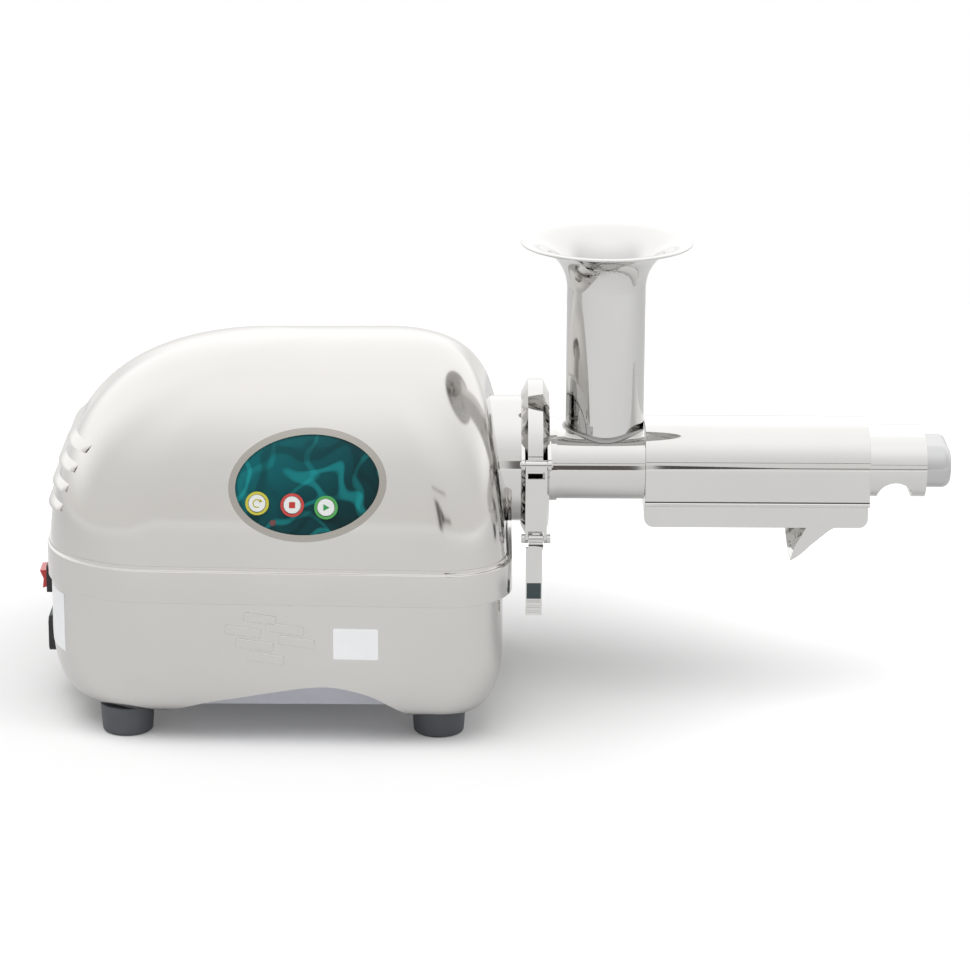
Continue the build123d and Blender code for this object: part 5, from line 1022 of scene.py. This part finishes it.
# ---------------- studio
@dataclass
class Studio:
    """Pale floor, soft lamps, surroundings for reflections, and the camera."""

    eye: tuple = (-4.0, -1960.0, 700.0)
    pitch: float = 16.5
    roll: float = 0.3
    focal_pixels: float = 3785.0
    image_height: float = 971.0
    floor_glow: float = 0.08
    far_glow: float = 0.34
    mirror_glow: tuple = (0.03, 0.5)
    # painted shade: the floor's camera glow rises over this span of distance from the machine, so the floor
    # stays darker close to it
    painted_shade_run: tuple = (0.17, 0.38)
    edge_run: tuple = (0.8, 2.4)
    mirror_run: tuple = (0.7, 2.6)
    painted_shade_x: float = -105.0
    floor_half: float = 5000.0
    floor_front: float = -4000.0
    floor_back: float = 900.0
    room_light: float = 0.42
    ceiling: float = 1.5
    rear_wall: tuple = ((-0.15, 0.55), (-0.05, 0.25))
    room: tuple = ((0.0, (0.65, 0.645, 0.635)), (0.50, (0.65, 0.645, 0.635)), (0.62, (0.66, 0.657, 0.652)),
                   (0.74, (0.69, 0.69, 0.69)), (0.87, (0.80, 0.80, 0.80)), (1.0, (0.98, 0.98, 0.98)))
    lamps: tuple = (("key", (-500, -700, 2100), (0, 0, 100), (2400, 1800), 40.0),
                    ("fill", (1700, -900, 1300), (0, 0, 120), (900, 1400), 10.5))
    flag_y: float = -1200.0
    flags: tuple = (("barrel_flag", (16, 126), (60, 360), (60, 360), 0.14),
                    ("taper_flag", (140, 250), (110, 330), (160, 200), 0.10),
                    ("line_flag", (250, 460), (150, 200), (150, 200), 0.22),
                    ("high_flag", (30, 460), (500, 530), (500, 530), 0.25))

    def camera(self) -> None:
        """Camera level with the viewing angle; its lens follows from the focal length in pixels."""
        data = bpy.data.cameras.new("view")
        data.sensor_width = 36.0
        data.lens = self.focal_pixels / self.image_height * data.sensor_width
        data.clip_start, data.clip_end = 0.1, 50.0
        view = bpy.data.objects.new("view", data)
        turn = Matrix.Rotation(radians(90 - self.pitch), 4, "X") @ Matrix.Rotation(radians(self.roll), 4, "Z")
        view.matrix_world = Matrix.Translation(Vector(self.eye) * MM) @ turn
        bpy.context.scene.collection.objects.link(view)
        bpy.context.scene.camera = view

    def floor(self) -> None:
        """Pale floor that keeps the shadow, and glows for the camera more and more away from the machine; the
        weak glow near it is painted shade, a darker pool round the machine.
        """
        graph = Graph("floor")
        spot = graph.place((self.painted_shade_x * MM, 0.0, 0.0))
        along, across = graph.part(spot, "X"), graph.part(spot, "Y")
        distance = (along * along + across * across) ** 0.5
        # painted shade: low glow within the first span of distance darkens the floor round the machine for
        # the camera
        glow = self.floor_glow + self.far_glow * distance.eased(*self.painted_shade_run)
        glow = glow + distance.eased(*self.edge_run)
        low, rise = self.mirror_glow
        mirrored = (low + rise * distance.eased(*self.mirror_run)) * graph.ray("Glossy")
        glow = glow * graph.ray("Camera") + mirrored
        graph.set(Base_Color=(0.80, 0.80, 0.80), Roughness=0.9, Specular_IOR_Level=0.0,
                  Emission_Color=(1.0, 1.0, 1.0), Emission_Strength=glow)
        half, front, back = self.floor_half, self.floor_front, self.floor_back
        corners = np.array([[(-half, front, 0), (half, front, 0)],
                            [(-half, back, 0), (half, back, 0)]], float)
        plane = surface("floor", corners, closed_cols=False)
        plane.data.materials.append(graph.material)

    def lamp(self, name: str, place: Floats, aim: Floats, size: Floats, power: float) -> None:
        """Add one soft rectangular lamp.

        Args:
            name: name of the lamp.
            place: position in millimetres.
            aim: point it faces.
            size: width and height in millimetres.
            power: watts.
        """
        data = bpy.data.lights.new(name, "AREA")
        data.shape = "RECTANGLE"
        data.size, data.size_y = size[0] * MM, size[1] * MM
        data.energy = power
        lamp = bpy.data.objects.new(name, data)
        lamp.location = Vector(place) * MM
        lamp.rotation_mode = "QUATERNION"
        lamp.rotation_quaternion = (Vector(aim) - Vector(place)).to_track_quat("-Z", "Y")
        lamp.visible_glossy = False
        bpy.context.scene.collection.objects.link(lamp)

    def flag(self, name: str, x: Floats, left: Floats, right: Floats, shade: float) -> None:
        """Add a dark upright strip that only polished surfaces see.

        Args:
            name: name of the strip.
            x: its left and right ends in millimetres.
            left: heights of its lower and upper edge at the left end.
            right: the same at the right end.
            shade: grey level.
        """
        y = self.flag_y
        corners = np.array([[(x[0], y, left[0]), (x[1], y, right[0])],
                            [(x[0], y, left[1]), (x[1], y, right[1])]], float)
        strip = surface(name, corners, closed_cols=False)
        graph = Graph(name).set(Base_Color=(0.0, 0.0, 0.0), Specular_IOR_Level=0.0,
                                Emission_Color=(shade, 0.92 * shade, 0.85 * shade), Emission_Strength=1.0)
        strip.data.materials.append(graph.material)
        strip.visible_camera = strip.visible_diffuse = strip.visible_shadow = False

    def surroundings(self) -> None:
        """World: white to the camera, a plain grey to matt surfaces, and to polished ones a room.

        The room has grey walls, a bright ceiling and a bright wall behind the machine.
        """
        world = bpy.data.worlds.new("room")
        world.use_nodes = True
        tree = Tree(world.node_tree)
        towards = tree.add("ShaderNodeTexCoord", output="Generated")
        height = tree.part(towards, "Z")
        walls = tree.ramp(self.room, 0.5 + 0.5 * height)
        away, up = self.rear_wall
        behind = tree.part(towards, "Y").eased(*away) * height.eased(*up)
        white = (1.0, 1.0, 1.0)
        camera, matt = tree.ray("Camera"), tree.ray("Diffuse")
        seen = tree.blend(matt, tree.blend(behind, walls, white), white)
        strength = self.ceiling + (1.0 - self.ceiling) * camera + (self.room_light - self.ceiling) * matt
        light = tree.net.nodes.new("ShaderNodeBackground")
        tree.plug(light.inputs["Color"], tree.blend(camera, seen, white))
        tree.plug(light.inputs["Strength"], strength)
        out = tree.net.nodes.new("ShaderNodeOutputWorld")
        tree.net.links.new(light.outputs[0], out.inputs["Surface"])
        bpy.context.scene.world = world

    def build(self) -> None:
        """Set up everything that isn't the machine."""
        self.camera()
        self.floor()
        self.surroundings()
        for lamp in self.lamps:
            self.lamp(*lamp)
        for flag in self.flags:
            self.flag(*flag)
        bpy.context.scene.view_settings.view_transform = "Standard"


# edge radius in millimetres of each CAD node that gets a finer copy
REFINED_NODES = {
    "bottom_tray": 0.4, "feet": 0.6, "panel_bezel": 0.0, "panel_overlay": 0.0, "ring_reverse": 0.15,
    "ring_stop": 0.15, "ring_start": 0.15, "button_reverse": 0.3, "button_stop": 0.3, "button_start": 0.3,
    "power_lens": 0.1, "switch_frame": 0.4, "rocker": 0.4, "power_inlet": 0.5, "neck": 0.3,
    "feed_barrel": 0.3, "screen": 0.0, "end_block": 0.4, "end_cap": 0.3, "juice_cover": 0.3,
    "juice_tray": 0.3, "spout": 0.2, "clamp_lower": 0.3, "clamp_upper": 0.3, "clamp_pins": 0.2,
    "keeper_pin": 0.2, "clamp_link": 0.2, "link_pin": 0.2, "clamp_handle": 0.2, "drive_auger": 0.0,
    "idler_auger": 0.0,
}


def main() -> None:
    """Build the sub-assemblies in order."""
    logging.basicConfig(level=logging.INFO, format="%(name)s: %(message)s")
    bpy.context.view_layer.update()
    Studio().build()
    shop = Workshop()
    housing = Housing()
    shop.stand_in(housing.cover(), "top_cover")
    shop.stand_in(housing.pan(), "base_pan")
    for z in housing.louvre_z:
        shop.join(housing.louvre_hood(z), "top_cover", shop.materials["satin_steel"])
    panel = Panel()
    for node, edge in REFINED_NODES.items():
        shop.refine(node, edge, material=panel.film() if node == "panel_overlay" else None)
    panel.signs(shop)
    Plates(housing).build(shop)
    weld = Weld()
    weld.build(shop)
    Hopper(weld).build(shop)
    CoverHems().build(shop)
    HandleEnd().build(shop)
    shop.coat()


if __name__ == "__main__":
    main()
